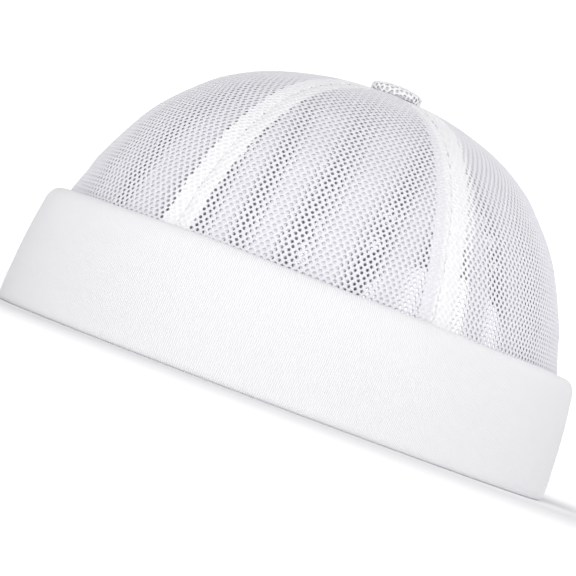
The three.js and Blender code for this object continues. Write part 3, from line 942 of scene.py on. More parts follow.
def panel_surface(index, depth):
    """The sheet that a panel's net follows, with its flat map and its distances from the seams."""
    share = FULL_TURN / PANELS
    level = np.linspace(level_at(NET_FOOT), level_of_reach(NET_TOP_RADIUS), PANEL_ROWS)[:, None]
    turn = (index + np.linspace(0, 1, PANEL_PLACES)) * share
    plain = crown_skin(turn[None, :], level)
    gone = run_lengths(plain, 1)
    width = gone[:, -1:]
    from_seam = np.minimum(gone, width - gone)
    shape = offset(crown_skin, turn[None, :], level, -seam_dip(from_seam) - depth)
    inset = SEAM_ROOM / np.maximum(width, 1 * MM)
    shape[:, :1] = shape[:, :1] + (shape[:, 1:2] - shape[:, :1]) * inset[..., None]
    middle = shape.shape[1] // 2
    rise = run_lengths(plain[:, middle:middle + 1], 0)
    lateral = gone - gone[:, middle:middle + 1]
    flat = np.stack([lateral, np.broadcast_to(rise, lateral.shape)], axis=-1)
    return shape, flat, from_seam


def with_margins(shape, flat):
    """The same sheet with a strip of its flat map beyond each seam, folded onto the seam."""
    margin = np.array([SEAM_MARGIN, 0])
    shape = np.concatenate([shape[:, :1], shape, shape[:, -1:]], axis=1)
    flat = np.concatenate([flat[:, :1] - margin, flat, flat[:, -1:] + margin], axis=1)
    return shape, flat


def stretched(flat, index):
    """The inner face is pulled unevenly, so its holes drift in and out of line with the outer's."""
    lateral, rise = np.moveaxis(flat, -1, 0)
    across, across_length = BACKING_WAVE_ACROSS
    up, up_length = BACKING_WAVE_UP
    pull = BACKING_STRETCH * lateral + across * np.sin(lateral / across_length + 2.6 + index)
    pull = pull + up * np.sin(rise / up_length + 2 * index)
    return np.stack([lateral + pull, rise], axis=-1)


def shown_faces(shape):
    """Which faces of a panel's sheet are neither inside the cuff nor in the opening."""
    x, y, z = np.moveaxis(shape, -1, 0)
    at_back = (y > 0) & (np.abs(x) < NET_BACK_HALF_WIDTH)
    room = np.where(at_back, arch_room(x, z), 1.0)
    shown = ((z > NET_HIDDEN_BELOW) | at_back) & (room > NET_ARCH_ROOM)
    return shown[:-1, :-1] & shown[1:, :-1] & shown[:-1, 1:] & shown[1:, 1:]


def net_over(name, mesh, flat, hole, tree, wall):
    """Net laid on a mesh whose flat map reaches over a known stretch."""
    settings = bpy.context.scene.beanie.net
    low, high = flat.reshape(-1, 2).min(0), flat.reshape(-1, 2).max(0)
    half_columns = math.ceil(max(-low[0], high[0]) / settings.across)
    rows = math.ceil((high[1] - low[1]) / settings.along) + 2
    return grow(name, mesh, tree, {
        "Hole": hole, "Across": settings.across, "Along": settings.along, "Pairing": settings.pairing,
        "Middle": float(low[1] + high[1]) / 2, "Columns": 2 * half_columns + 1, "Rows": rows,
        "Material": finish("net")}, wall=wall)


def without(mesh, hidden):
    """Takes the marked faces out of a mesh."""
    work = bmesh.new()
    work.from_mesh(mesh)
    taken = [face for face, gone in zip(work.faces, hidden) if gone]
    bmesh.ops.delete(work, geom=taken, context="FACES")
    work.to_mesh(mesh)
    work.free()
    return mesh


class BEANIE_OT_net_crown(bpy.types.Operator):
    """Makes the net of the crown panels: an outer face, and an inner one that stops at the tapes"""

    bl_idname = "beanie.net_crown"
    bl_label = "Net crown"

    def execute(self, context):
        settings = context.scene.beanie.net
        face_tree = net_tree(8)
        backing_tree = net_tree(6)
        for index in range(PANELS):
            shape, flat, _ = panel_surface(index, 0)
            shape, flat = with_margins(shape, flat)
            self.lay("net_face", index, shape, flat, shown_faces(shape),
                     settings.hole, face_tree, settings.wall)
            shape, flat, from_seam = panel_surface(index, settings.backing_depth)
            between = from_seam[:-1] > BACKING_ROOM
            shown = shown_faces(shape) & between[:, :-1] & between[:, 1:]
            self.lay("net_backing", index, shape, stretched(flat, index), shown,
                     settings.backing_hole, backing_tree, None)
        return {"FINISHED"}

    def lay(self, name, index, shape, flat, shown, hole, tree, wall):
        """Lays one face of a panel's net on the part of its sheet that shows."""
        node = f"crown_panel_{index + 1}"
        mesh = without(sheet_mesh(node, shape, flat), ~shown.ravel())
        settle(net_over(f"{name}_{index + 1}", mesh, flat, hole, tree, wall), "net", node)


TAPE_WIDTH = 12 * MM
TAPE_WALL = 0.9 * MM
TAPE_DEPTH = 0.1 * MM
TAPE_FOOT = 36 * MM
TAPE_FOOT_AT_BACK = 66 * MM
TAPE_TOP_SHARE = 0.85
TAPE_TOP_ROOM = 0.2 * MM


class BEANIE_OT_seam_tapes(bpy.types.Operator):
    """Makes the woven tapes behind the six seams"""

    bl_idname = "beanie.seam_tapes"
    bl_label = "Seam tapes"

    def execute(self, context):
        for index in range(PANELS):
            settle(self.tape(index), "seam_tape", f"seam_tape_{index + 1}")
        return {"FINISHED"}

    def tape(self, index):
        """One tape, pressed into the net: it follows the seam's dip and narrows where all meet."""
        turn = index * FULL_TURN / PANELS
        foot = TAPE_FOOT_AT_BACK if index == PANELS // 2 else TAPE_FOOT
        level = np.linspace(level_at(foot), level_of_reach(NET_TOP_RADIUS), PANEL_ROWS)[:, None]
        centre = crown_skin(turn, level)
        axis = np.array([0, HAT_SHIFT + CROWN_BACK_LEAN, 0])
        radius = np.linalg.norm((centre - axis)[..., :2], axis=-1)
        room = radius * math.tan(math.pi / PANELS) * TAPE_TOP_SHARE - TAPE_TOP_ROOM
        half = np.minimum(TAPE_WIDTH / 2, room)
        outline = slab_outline(12)
        across = outline[:, 0] * 2
        dip = seam_dip(np.abs(across) * half)
        depth = TAPE_DEPTH + dip + outline[:, 1] * TAPE_WALL
        rings = offset(crown_skin, turn + across * np.arctan(half / radius), level, -depth)
        return loft(f"tape_{index + 1}", rings, ring_map(rings), finish("seam_tape"))


def slab_outline(steps, round_steps=4):
    """A flat slab's section with round edges: share across from -0.5 to 0.5, and depth share 0 to 1.

    The round edges reach over the outermost hundredth of the width."""
    tip = 0.49
    front = [(share, 0.0) for share in np.linspace(-tip, tip, steps)]
    angles = np.linspace(-math.pi / 2, math.pi / 2, round_steps + 2)[1:-1]
    edge = [(tip + 0.01 * math.cos(a), 0.5 + 0.5 * math.sin(a)) for a in angles]
    back = [(-share, 1.0) for share, _ in front]
    other = [(-share, 1 - depth) for share, depth in edge]
    return np.array(front + edge + back + other)


def spun(outline, turn):
    """A grid of points: an outline of radius and height at each turn about Z."""
    radius, height = outline[:, None, 0], outline[:, None, 1]
    across, along = radius * np.cos(turn), radius * np.sin(turn)
    return np.stack([across, along, np.broadcast_to(height, across.shape)], axis=-1)


def ring_map(rings, spine=None, sections=None):
    """Flat map of a loft: distance along its length, and round its section.

    The length is that of its middle, or of the line through one place of each ring."""
    course = rings.mean(axis=1, keepdims=True) if spine is None else rings[:, spine:spine + 1]
    sections = rings if sections is None else sections
    along = run_lengths(course, 0)
    around = run_lengths(np.concatenate([sections, sections[:, :1]], axis=1), 1)
    return np.stack([np.broadcast_to(along, around.shape), around], axis=-1)


BUTTON_RADIUS = 8.5 * MM
BUTTON_RISE = 3 * MM
BUTTON_EDGE = 1.5 * MM
BUTTON_BASE = -0.9 * MM
BUTTON_SHOULDER = 1.2 * MM
BUTTON_SHOULDER_RISE = 0.5 * MM
BUTTON_COVER_SINK = 0.1 * MM
BUTTON_CORE_SHRINK = 0.55 * MM
BUTTON_SHANK = 1.5 * MM
BUTTON_SHANK_LENGTH = 3.4 * MM


class BEANIE_OT_button(bpy.types.Operator):
    """Makes the covered button on top"""

    bl_idname = "beanie.button"
    bl_label = "Crown button"

    def execute(self, context):
        centre = Vector((0, HAT_SHIFT + CROWN_BACK_LEAN, CROWN_TOP + GAP))
        place = Matrix.Translation(centre)
        inner = BUTTON_RADIUS - BUTTON_CORE_SHRINK
        foot = (inner - 0.4 * MM, BUTTON_BASE)
        core = [(0, -BUTTON_SHANK_LENGTH), (BUTTON_SHANK, -BUTTON_SHANK_LENGTH),
                (BUTTON_SHANK, BUTTON_BASE), foot]
        core += list(bezier(foot, (inner, BUTTON_BASE), (inner, BUTTON_EDGE / 2), steps=4))
        core += list(self.dome(BUTTON_CORE_SHRINK))
        core[-1] = (0, core[-1][1])
        piece = lathe("button_core", core, ROUND_SIDES, finish("strap_cotton"), place)
        settle(piece, "strap_cotton", "crown_button")
        settle(self.cover(context.scene.beanie.net, place), "net", "crown_button")
        return {"FINISHED"}

    def dome(self, shrink):
        """The button's outline from its edge up to the middle of its top."""
        edge = BUTTON_RADIUS - shrink
        rise = BUTTON_RISE - shrink
        shoulder = (edge - BUTTON_SHOULDER, BUTTON_EDGE + BUTTON_SHOULDER_RISE - shrink)
        corner = bezier((edge, BUTTON_EDGE / 2), (edge, BUTTON_EDGE), shoulder, steps=4)
        top = bezier(shoulder, (edge / 2, rise), (0, rise), steps=16)
        return np.concatenate([corner, top])

    def cover(self, settings, place):
        """Net stretched over the dome and drawn down to the crown all round."""
        side = bezier((BUTTON_RADIUS - 0.3 * MM, -0.2 * MM), (BUTTON_RADIUS, 0.1 * MM),
                      (BUTTON_RADIUS, BUTTON_EDGE / 2), steps=3)
        outline = np.concatenate([side, self.dome(0)])[::-1]
        turn = np.linspace(0, FULL_TURN, 73)
        shape = spun(outline, turn) + (0, 0, place.translation.z)
        foot = shape[-1:].copy()
        foot[..., 2] = crown_height(foot[..., 0], foot[..., 1]) - BUTTON_COVER_SINK
        shape = np.concatenate([shape, foot]) + (0, place.translation.y, 0)
        arc = run_lengths(shape[:, :1], 0)
        flat = np.stack([arc * np.cos(turn), arc * np.sin(turn)], axis=-1)
        mesh = sheet_mesh("button_surface", shape, flat)
        return net_over("button_net", mesh, flat, settings.button_hole, net_tree(8), settings.wall)


# Cuff

CUFF_WALL = 1.8 * MM
CUFF_LEAN = 2.6 * MM
CUFF_FOLD = 4.8 * MM
CUFF_SHOULDER = 6 * MM
CUFF_END_REACH = 54 * MM
CUFF_FOOT_TOP = 1.9 * MM
CUFF_SOLE_OUTER = 1.7 * MM
CUFF_SOLE_INNER = 3.4 * MM
CUFF_BELLY_INSET = 0.4 * MM
CUFF_BELLY_HEIGHT = 20 * MM
CUFF_LIP_HEIGHT = 35.5 * MM
CUFF_LIP_WALL = 1.6 * MM
CUFF_HEM = 1.4 * MM
CUFF_STATIONS = 300
CUFF_BELLY_FOOT = 3.2 * MM
CUFF_INNER_FOOT = 4.5 * MM
CUFF_CREST = 1.7 * MM
CUFF_OUTER_CREST = 1.4 * MM
CUFF_INNER_CREST = -0.9 * MM
CUFF_END_SOFT = 0.7
CUFF_END_DRAW = 0.05

# The place in the section that the ribs are spaced along
CUFF_SPINE = 30

# A slight unevenness: each wave's height in millimetres, its count and its start
CUFF_WAVES_INWARD = ((0.22, 5, 0.7), (0.14, 11, 0))
CUFF_WAVES_UP = ((0.25, 3, 1.3), (0.12, 8, 0))


class BEANIE_OT_cuff(bpy.types.Operator):
    """Makes the turned-up jersey cuff"""

    bl_idname = "beanie.cuff"
    bl_label = "Cuff"

    def execute(self, context):
        outer, inner, closed_inner = self.section()
        hem_share = CUFF_HEM / (RIM_REACH_Y * 5)
        hem = hem_share * np.array([0, 0.02, 0.08, 0.2, 0.4, 0.7, 1])
        step = 1e-5
        places = np.concatenate([
            hem, [hem_share + step], np.linspace(hem_share * 2, 1 - hem_share * 2, CUFF_STATIONS),
            [1 - hem_share - step], 1 - hem[::-1]])
        in_hem = np.minimum(places, 1 - places) <= hem_share
        inner_lines = np.where(in_hem[:, None, None], closed_inner, inner)
        outer_lines = np.broadcast_to(outer, (len(places), *outer.shape))
        sections = np.concatenate([outer_lines, inner_lines], axis=1)
        roundness = self.end_roundness(np.minimum(places, 1 - places) / hem_share)
        middle = sections.mean(axis=1, keepdims=True)
        sections = sections + (middle - sections) * roundness[:, None, None]
        rings = self.sweep(sections, places)
        # Ribs stand upright, so the distance along is the same all the way up the strip
        flat = ring_map(rings, CUFF_SPINE, sections)
        settle(loft("cuff_jersey", rings, flat, finish("jersey"), math.radians(60)), "jersey", "cuff")
        return {"FINISHED"}

    def end_roundness(self, share):
        """How far the section draws in at the hem's very end."""
        inside = np.clip(share / CUFF_END_SOFT, 0, 1)
        return CUFF_END_DRAW * (1 - np.sqrt(1 - (1 - inside) ** 2))

    def section(self):
        """Outer line from the lip to the foot, the strip's inner line back, and that line in a hem."""
        lip = CUFF_LEAN + CUFF_SHOULDER
        lip_inner = lip - CUFF_LIP_WALL
        wall_top = CUFF_LEAN + CUFF_WALL
        bend = CUFF_BEND_HEIGHT
        belly_foot = (0, CUFF_BELLY_FOOT)
        outer = np.concatenate([
            [(lip, bend), (lip, CUFF_LIP_HEIGHT)],
            bezier((lip, CUFF_LIP_HEIGHT), (lip - 0.2 * MM, CUFF_HEIGHT + CUFF_CREST),
                   (CUFF_LEAN + 0.4 * MM, CUFF_HEIGHT + CUFF_OUTER_CREST), (CUFF_LEAN, bend), steps=18),
            bezier((CUFF_LEAN, bend), (CUFF_BELLY_INSET, CUFF_BELLY_HEIGHT), belly_foot, steps=18),
            bezier(belly_foot, (0, 0), (CUFF_SOLE_OUTER, 0), steps=6),
            [(CUFF_SOLE_INNER, 0)],
            bezier((CUFF_SOLE_INNER, 0), (CUFF_FOLD, 0), (CUFF_FOLD, CUFF_FOOT_TOP / 2), steps=5),
            [(CUFF_FOLD, CUFF_FOOT_TOP)]])
        sole, inner_foot = (CUFF_SOLE_INNER, CUFF_FOOT_TOP), (CUFF_WALL, CUFF_INNER_FOOT)
        inner_crest = CUFF_HEIGHT + CUFF_INNER_CREST
        inner = np.concatenate([
            [sole],
            bezier(sole, (CUFF_WALL, CUFF_FOOT_TOP), inner_foot, steps=5),
            bezier(inner_foot, (CUFF_WALL + CUFF_BELLY_INSET, CUFF_BELLY_HEIGHT), (wall_top, bend),
                   steps=8),
            bezier((wall_top, bend), (wall_top + GAP, inner_crest), (lip_inner - 0.2 * MM, inner_crest),
                   (lip_inner, CUFF_LIP_HEIGHT - GAP), steps=8),
            [(lip_inner, bend)]])
        share = np.linspace(0, 1, len(inner))[:, None]
        short = 0.15 * MM
        foot = np.array((TUCKED_PROFILE[0][1] * MM - short, CUFF_FOOT_TOP))
        closed_inner = foot + ((lip - short, bend) - foot) * share
        return outer, inner, closed_inner

    def sweep(self, sections, places):
        """The sections carried round the rim between the slanted ends, with a slight unevenness."""
        inset, height = sections[..., 0], sections[..., 1]
        end_reach = CUFF_END_REACH - (ARCH_HALF_WIDTH - arch_half_width(height))
        last = np.pi - np.arcsin(end_reach / (RIM_REACH_X - inset))
        turn = (2 * places[:, None] - 1) * last
        upper = smoothstep(height, 4 * MM, CUFF_HEIGHT)
        ease = np.sin(np.pi * places[:, None]) ** 0.5
        inset = inset + upper * ease * waves(turn, *CUFF_WAVES_INWARD) * MM
        height = height + upper * ease * waves(turn, *CUFF_WAVES_UP) * MM
        return np.stack([
            (RIM_REACH_X - inset) * np.sin(turn),
            HAT_SHIFT - (RIM_REACH_Y - inset) * np.cos(turn),
            height], axis=-1)


# Sweatband

BAND_WALL = 1.2 * MM
BAND_TOP = 37.8 * MM
BAND_BOW_FULL = 17 * MM
BAND_BOW_END = 38 * MM
BAND_PIPING_HEIGHT = 2.9 * MM
BAND_PIPING_RADIUS = 0.95 * MM
BAND_PIPING_DEPTH = 0.85 * MM
BAND_CREASE_HEIGHT = 20 * MM
BAND_HEM_WIDTH = 6.5 * MM
BAND_HEM_RISE = 0.4 * MM
BAND_STITCH_HEIGHT = 9 * MM
BAND_PUFF = 0.3 * MM

# The place in the section that the twill runs along
BAND_SPINE = 20


def band_place(share, height, depth):
    """A point of the sweatband by its share round, its height and its depth into the hat."""
    share, height, depth = np.broadcast_arrays(share, height, depth)
    level = level_at(height)
    reach = side_reach(crown_row(level)[..., 0])
    last = np.pi - np.arcsin((arch_half_width(height) + GAP) / reach)
    turn = (2 * share - 1) * last
    to_end = (last - np.abs(turn)) * reach
    bow = 1 - smoothstep(to_end, BAND_BOW_FULL, BAND_BOW_END)
    hem = BAND_HEM_RISE * smoothstep(-to_end, -BAND_HEM_WIDTH, 0.4 * MM - BAND_HEM_WIDTH)
    soft = waves(
        turn, (0.3, 4, 40 * height / CUFF_HEIGHT / 9), (0.16, 13, 2.1),
        (0.12, 23, 5 * height / CUFF_HEIGHT))
    inside = smoothstep(depth, 0.4 * BAND_WALL, BAND_WALL)
    lift = (hem + (BAND_PUFF + soft * MM) * np.sin(np.pi * height / BAND_TOP)) * inside
    back = BAND_DEPTH + (BAND_DEPTH_AT_END - BAND_DEPTH) * bow
    return offset(crown_skin, turn, level, -(back + depth + lift))


class BEANIE_OT_sweatband(bpy.types.Operator):
    """Makes the twill sweatband with its piped edge"""

    bl_idname = "beanie.sweatband"
    bl_label = "Sweatband"

    def execute(self, context):
        section = self.section()
        tail = np.array([0, 0.1, 0.35, 0.8, 1.6, 2.4]) / 1000
        share = np.concatenate([tail, np.linspace(0.004, 0.996, 320), 1 - tail[::-1]])[:, None]
        rings = band_place(share, section[:, 0], section[:, 1])
        flat = ring_map(rings, BAND_SPINE)
        settle(loft("sweatband_twill", rings, flat, finish("twill"), slab=True), "twill", "sweatband")
        angles = np.linspace(0, FULL_TURN, 14, endpoint=False)
        bead = band_place(share, BAND_PIPING_HEIGHT + BAND_PIPING_RADIUS * np.cos(angles),
                          BAND_PIPING_DEPTH + BAND_PIPING_RADIUS * np.sin(angles))
        settle(loft("sweatband_piping", bead, ring_map(bead), finish("piping")), "twill", "sweatband")
        return {"FINISHED"}

    def section(self):
        """Height and depth: up the back, over the top and down the inner face to the piping."""
        top = [(BAND_TOP, 0.3 * BAND_WALL), (BAND_TOP, 0.7 * BAND_WALL)]
        crease, row = BAND_CREASE_HEIGHT, BAND_STITCH_HEIGHT
        # Heights, and how far the face stands proud of its plain wall there in millimetres
        relief = [(37.2 * MM, 0), (34 * MM, 0), (30 * MM, 0), (26 * MM, 0),
                  (crease + 2 * MM, 0.05), (crease + 0.8 * MM, 0.1), (crease, -0.16),
                  (crease - 0.8 * MM, 0.1), (crease - 2 * MM, 0.05), (15 * MM, 0), (11.5 * MM, 0),
                  (row + 0.9 * MM, 0), (row, -0.14), (row - 0.9 * MM, 0),
                  (6.5 * MM, 0.05), (4.9 * MM, 0), (4.1 * MM, -0.25), (3.7 * MM, -0.3)]
        face = [(height, BAND_WALL + proud * MM) for height, proud in relief]
        back = [(height, 0.0) for height, _ in reversed(face)]
        foot = [(BAND_PIPING_HEIGHT, BAND_WALL * 0.4), (BAND_PIPING_HEIGHT, BAND_WALL * 0.8)]
        return np.array(foot[:1] + back + top + face + foot[1:])


# Binding of the opening

BINDING_WIDTH = 8 * MM
BINDING_WALL = 0.8 * MM
BINDING_FOLD = 0.75 * MM
BINDING_PROUD = -0.28 * MM
BINDING_FOOT = 1.4 * MM


def binding_place(line, outward, proud):
    """A point near the opening's edge: outward from the edge, and proud of the crown's outer face."""
    along = np.gradient(line, axis=0)
    along /= np.linalg.norm(along, axis=1, keepdims=True)
    away = np.stack([along[:, 1], -along[:, 0]], axis=1)
    spot = line[:, None, :] + away[:, None, :] * np.asarray(outward)[None, :, None]
    return offset(back_skin, spot[..., 0], spot[..., 1], -np.broadcast_to(proud, spot.shape[:2]))


class BEANIE_OT_binding(bpy.types.Operator):
    """Makes the tape folded round the edge of the opening"""

    bl_idname = "beanie.binding"
    bl_label = "Opening binding"

    def execute(self, context):
        line = arch_line(BINDING_FOOT, 24, 40)
        section = self.section()
        rings = binding_place(line, section[:, 0], section[:, 1])
        piece = loft("binding_tape", rings, ring_map(rings), finish("strap_cotton"))
        settle(piece, "strap_cotton", "opening_binding")
        return {"FINISHED"}

    def section(self):
        """A flat U: the inner leg, the fold at the edge, and the outer leg."""
        half = BINDING_WALL / 2
        fold = BINDING_FOLD + half
        legs = np.linspace(BINDING_WIDTH - 0.3 * MM, fold, 8)
        angles = np.radians(np.linspace(-90, -270, 13))[1:-1]

        def face(radius, way):
            """One face of the tape: a leg, the fold and the other leg."""
            leg = [(out, -way * radius) for out in legs]
            arc = [(fold + radius * math.cos(a), radius * math.sin(a)) for a in angles[::way]]
            return leg + arc + [(out, way * radius) for out in legs[::-1]]

        upper_tip = [(BINDING_WIDTH, BINDING_FOLD + half * s) for s in (0.5, -0.5)]
        lower_tip = [(BINDING_WIDTH, -BINDING_FOLD + half * s) for s in (0.5, -0.5)]
        outside, inside = face(fold, 1), face(BINDING_FOLD - half, -1)
        return np.array(outside + upper_tip + inside + lower_tip) + (0, BINDING_PROUD)


# Straps

STRAP_LEFT_TIP = 3.2 * MM
STRAP_RIGHT_TIP = -24 * MM
STRAP_STEP_START = 26 * MM
STRAP_STEP_END = 38 * MM
STRAP_MIDDLE = STRAP_FOOT + STRAP_WIDTH / 2
STRAP_TIP_ROUND = 0.8 * MM
STRAP_TIP_NARROWING = 0.03
STRAP_TIP_THINNING = 0.6
EYELET_X = -6.5 * MM
EYELET_RADIUS = 3.5 * MM
EYELET_HOLE = 1.8 * MM
EYELET_BARREL = 2.3 * MM
EYELET_ROLL = 0.85 * MM


def strap_lean():
    low, high = strap_skin(0, STRAP_FOOT), strap_skin(0, STRAP_FOOT + STRAP_WIDTH)
    return math.atan((low[1] - high[1]) / STRAP_WIDTH)


def buckle_place():
    """The buckle's own frame: X along the strap, Y out of the hat, Z up the slant."""
    depth = np.array(STRAP_DEPTH + TAIL_OUTER)
    centre = offset(strap_skin, np.array(0.0), np.array(STRAP_MIDDLE), depth)
    return Matrix.Translation(Vector(centre)) @ Matrix.Rotation(strap_lean(), 4, "X")


def strap_place(x, up, side, outer_in_buckle):
    """A point of a strap: along it, up its width from -0.5 to 0.5, and side 0 outside to 1 inside."""
    inside_tail = 1 - smoothstep(np.abs(x), STRAP_STEP_START, STRAP_STEP_END)
    depth = STRAP_DEPTH + (TAIL_OUTER - outer_in_buckle) * inside_tail + side * STRAP_WALL
    height = STRAP_MIDDLE + up * STRAP_WIDTH * math.cos(strap_lean())
    return offset(strap_skin, x, height, depth)


class BEANIE_OT_straps(bpy.types.Operator):
    """Makes the two straps across the opening"""

    bl_idname = "beanie.straps"
    bl_label = "Straps"

    def execute(self, context):
        outer_end = ARCH_HALF_WIDTH + STRAP_TUCK
        left = self.strap("strap_left_cotton", STRAP_LEFT_TIP, -outer_end, LEFT_STRAP_OUTER)
        self.punch(left)
        right = self.strap("strap_right_cotton", outer_end, STRAP_RIGHT_TIP, TAIL_OUTER)
        settle(left, "strap_cotton", "strap_left")
        settle(right, "strap_cotton", "strap_right")
        return {"FINISHED"}

    def strap(self, name, start, end, outer_in_buckle):
        """A tubular strap, pressed flat, with round edges and a soft rounding at its tips."""
        outline = slab_outline(14, 5)
        tip = np.array([0, 0.06, 0.2, 0.45, 0.8]) * MM
        way = math.copysign(1, end - start)
        inset = way * 1.2 * MM
        x = np.concatenate([
            start + way * tip, np.linspace(start + inset, end - inset, 160), end - way * tip[::-1]])
        to_tip = np.minimum(np.abs(x - start), np.abs(x - end))
        draw_in = 1 - np.sqrt(1 - (1 - np.clip(to_tip / STRAP_TIP_ROUND, 0, 1)) ** 2)
        up = outline[:, 0] * (1 - STRAP_TIP_NARROWING * draw_in[:, None])
        side = 0.5 + (outline[:, 1] - 0.5) * (1 - STRAP_TIP_THINNING * draw_in[:, None])
        rings = strap_place(x[:, None], up, side, outer_in_buckle)
        return loft(name, rings, ring_map(rings), finish("strap_cotton"))

    def punch(self, strap):
        """Cuts the hole for the eyelet's barrel."""
        turned = Matrix.Rotation(math.pi / 2, 4, "X")
        middle = Matrix.Translation((EYELET_X, LEFT_STRAP_OUTER - STRAP_WALL / 2, 0))
        radius = EYELET_BARREL + 0.1 * MM
        reach = 3 * STRAP_WALL
        outline = [(0, -reach), (radius, -reach), (radius, reach), (0, reach)]
        tool = lathe("punch", outline, 32, finish("strap_cotton"), buckle_place() @ middle @ turned)
        cutter = strap.modifiers.new("Punch", "BOOLEAN")
        cutter.object = tool
        cutter.operation = "DIFFERENCE"
        cutter.solver = "EXACT"
        cut = evaluated_mesh(strap)
        strap.modifiers.clear()
        strap.data = cut
        bpy.data.objects.remove(tool)


# Buckle

class BEANIE_OT_buckle(bpy.types.Operator):
    """Makes the eyelet, the tray and the lever in nickel"""

    bl_idname = "beanie.buckle"
    bl_label = "Buckle"

    def execute(self, context):
        settle(self.eyelet(), "nickel", "eyelet")
        edge = context.scene.beanie.metal.edge
        settle(self.soften("tray_nickel", "buckle_tray", edge), "nickel", "buckle_tray")
        lever = self.soften("lever_nickel", "buckle_lever", edge)
        settle(lever, "nickel", "buckle_lever", body="lever")
        return {"FINISHED"}

    def eyelet(self):
        """A rolled ring on the inner face and a barrel through the strap."""
        face = LEFT_STRAP_OUTER - STRAP_WALL - 0.05 * MM
        crest = face - EYELET_ROLL
        middle = EYELET_HOLE + EYELET_ROLL
        ring = [(EYELET_HOLE, LEFT_STRAP_OUTER), (EYELET_HOLE, face)]
        ring += list(bezier((EYELET_HOLE, face), (EYELET_HOLE, crest), (middle, crest), steps=6))
        ring += list(bezier((middle, crest), (EYELET_RADIUS, crest), (EYELET_RADIUS, face), steps=6))
        ring += [(EYELET_BARREL, face), (EYELET_BARREL, LEFT_STRAP_OUTER)]
        turned = Matrix.Rotation(-math.pi / 2, 4, "X")
        place = buckle_place() @ Matrix.Translation((EYELET_X, 0, 0)) @ turned
        return lathe("eyelet_nickel", ring, ROUND_SIDES, finish("nickel"), place)

    def soften(self, name, node, edge):
        """A copy of a solid with its edges rounded."""
        crisp = math.radians(35)
        work = bmesh.new()
        work.from_mesh(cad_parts[node].data)
        bmesh.ops.remove_doubles(work, verts=work.verts, dist=DOUBLE)
        bmesh.ops.dissolve_limit(work, angle_limit=math.radians(1), verts=work.verts, edges=work.edges)
        mesh = bpy.data.meshes.new(name)
        work.to_mesh(mesh)
        work.free()
        mesh.materials.clear()
        mesh.materials.append(finish("nickel"))
        piece = show(name, mesh)
        bevel = piece.modifiers.new("Edge", "BEVEL")
        bevel.width = edge
        bevel.segments = 2
        bevel.limit_method = "ANGLE"
        bevel.angle_limit = crisp
        bevel.use_clamp_overlap = True
        piece.data = evaluated_mesh(piece)
        piece.modifiers.clear()
        piece.data.polygons.foreach_set("use_smooth", [True] * len(piece.data.polygons))
        piece.data.set_sharp_from_angle(angle=crisp)
        return piece


# Stitches

STRAP_ROW_REACH = 50 * MM


class BEANIE_OT_stitches(bpy.types.Operator):
    """Sews the rows of stitches on sweatband, binding and straps"""

    bl_idname = "beanie.stitches"
    bl_label = "Stitches"

    def execute(self, context):
        tree = stitch_tree()
        # Slot, thread, lines, share of a stitch's length, and how far it may turn in radians
        rows = {
            # The sweatband's dark thread is partly painted shade of its sunk stitches.
            "sweatband_stitches": ("twill", "thread", self.band_rows(), 0.7, 0.55),
            "binding_stitches": ("strap_cotton", "pale thread", self.binding_rows(), 1.0, 0.0),
            "strap_stitches": ("strap_cotton", "pale thread", self.strap_rows(), 1.0, 0.0),
        }
        settings = context.scene.beanie.stitch
        for name, (slot, thread, lines, shorter, wander) in rows.items():
            piece = grow(name, lines_mesh(name, lines), tree, {
                "Length": settings.length * shorter, "Thread": settings.thread, "Pitch": settings.pitch,
                "Wander": wander, "Material": finish(thread)})
            settle(piece, slot)
        return {"FINISHED"}

    def band_rows(self):
        """One row above the rim, and one beside each end of the sweatband."""
        share = np.linspace(0.012, 0.988, 400)
        rows = [band_place(share, BAND_STITCH_HEIGHT, BAND_WALL - 0.1 * MM)]
        height = np.linspace(3.5 * MM, BAND_TOP - 2.2 * MM, 30)
        for end in (0.0112, 0.9888):
            rows.append(band_place(end, height, BAND_WALL - 0.02 * MM))
        return rows

    def binding_rows(self):
        """A row on each leg of the binding."""
        line = arch_line(BINDING_FOOT + 1 * MM, 24, 40)
        proud = BINDING_FOLD + BINDING_WALL / 2
        near_edge = np.array([BINDING_WIDTH - 1.3 * MM])
        return [
            binding_place(line, near_edge, BINDING_PROUD + side)[:, 0] for side in (proud, -proud)]

    def strap_rows(self):
        """A row along each edge of the straps, on the face that shows."""
        rows = []
        for start, end, outer, side in (
                (STRAP_LEFT_TIP - 2 * MM, -STRAP_ROW_REACH, LEFT_STRAP_OUTER, 1),
                (STRAP_ROW_REACH, 14 * MM, TAIL_OUTER, 1),
                (STRAP_ROW_REACH, STRAP_RIGHT_TIP + 2 * MM, TAIL_OUTER, 0)):
            x = np.linspace(start, end, 120)
            rows += [strap_place(x, up, side, outer) for up in (-0.4, 0.4)]
        return rows


# Studio

# The floor, its wall, and where its own light sets in round the hat and on the wall
FLOOR_REACH = 3.0
BACKDROP_RADIUS = 1.5
BACKDROP_TOP = 3.5
GLOW_START = 0.12
GLOW_NEAR = 0.31
GLOW_NEAR_REACH = 0.2
GLOW_FAR_START = 1.2
GLOW_FAR_REACH = 1.0
GLOW_SIDE = (0.2, 0.98, 0.0)
GLOW_SPREAD = 0.3
GLOW_LEAST = 0.5

# What the lamps point at and the camera goes round, and what the camera looks at
HAT_MIDDLE = (0.0, 0.0, 0.048)
AIM = (-0.0061, -0.0034, 0.035)
LIGHTS = (
    # name, place, size, share of the main light's power, colour
    ("key", (0.75, -2.5, 1.7), 1.2, 1.0, (1.0, 0.99, 0.985)),
    ("side", (2.9, -0.2, 1.3), 1.6, 0.15, (0.98, 0.98, 1.0)),
    ("back", (0.4, 2.6, 1.9), 1.6, 0.28, (0.97, 0.97, 1.0)),
)


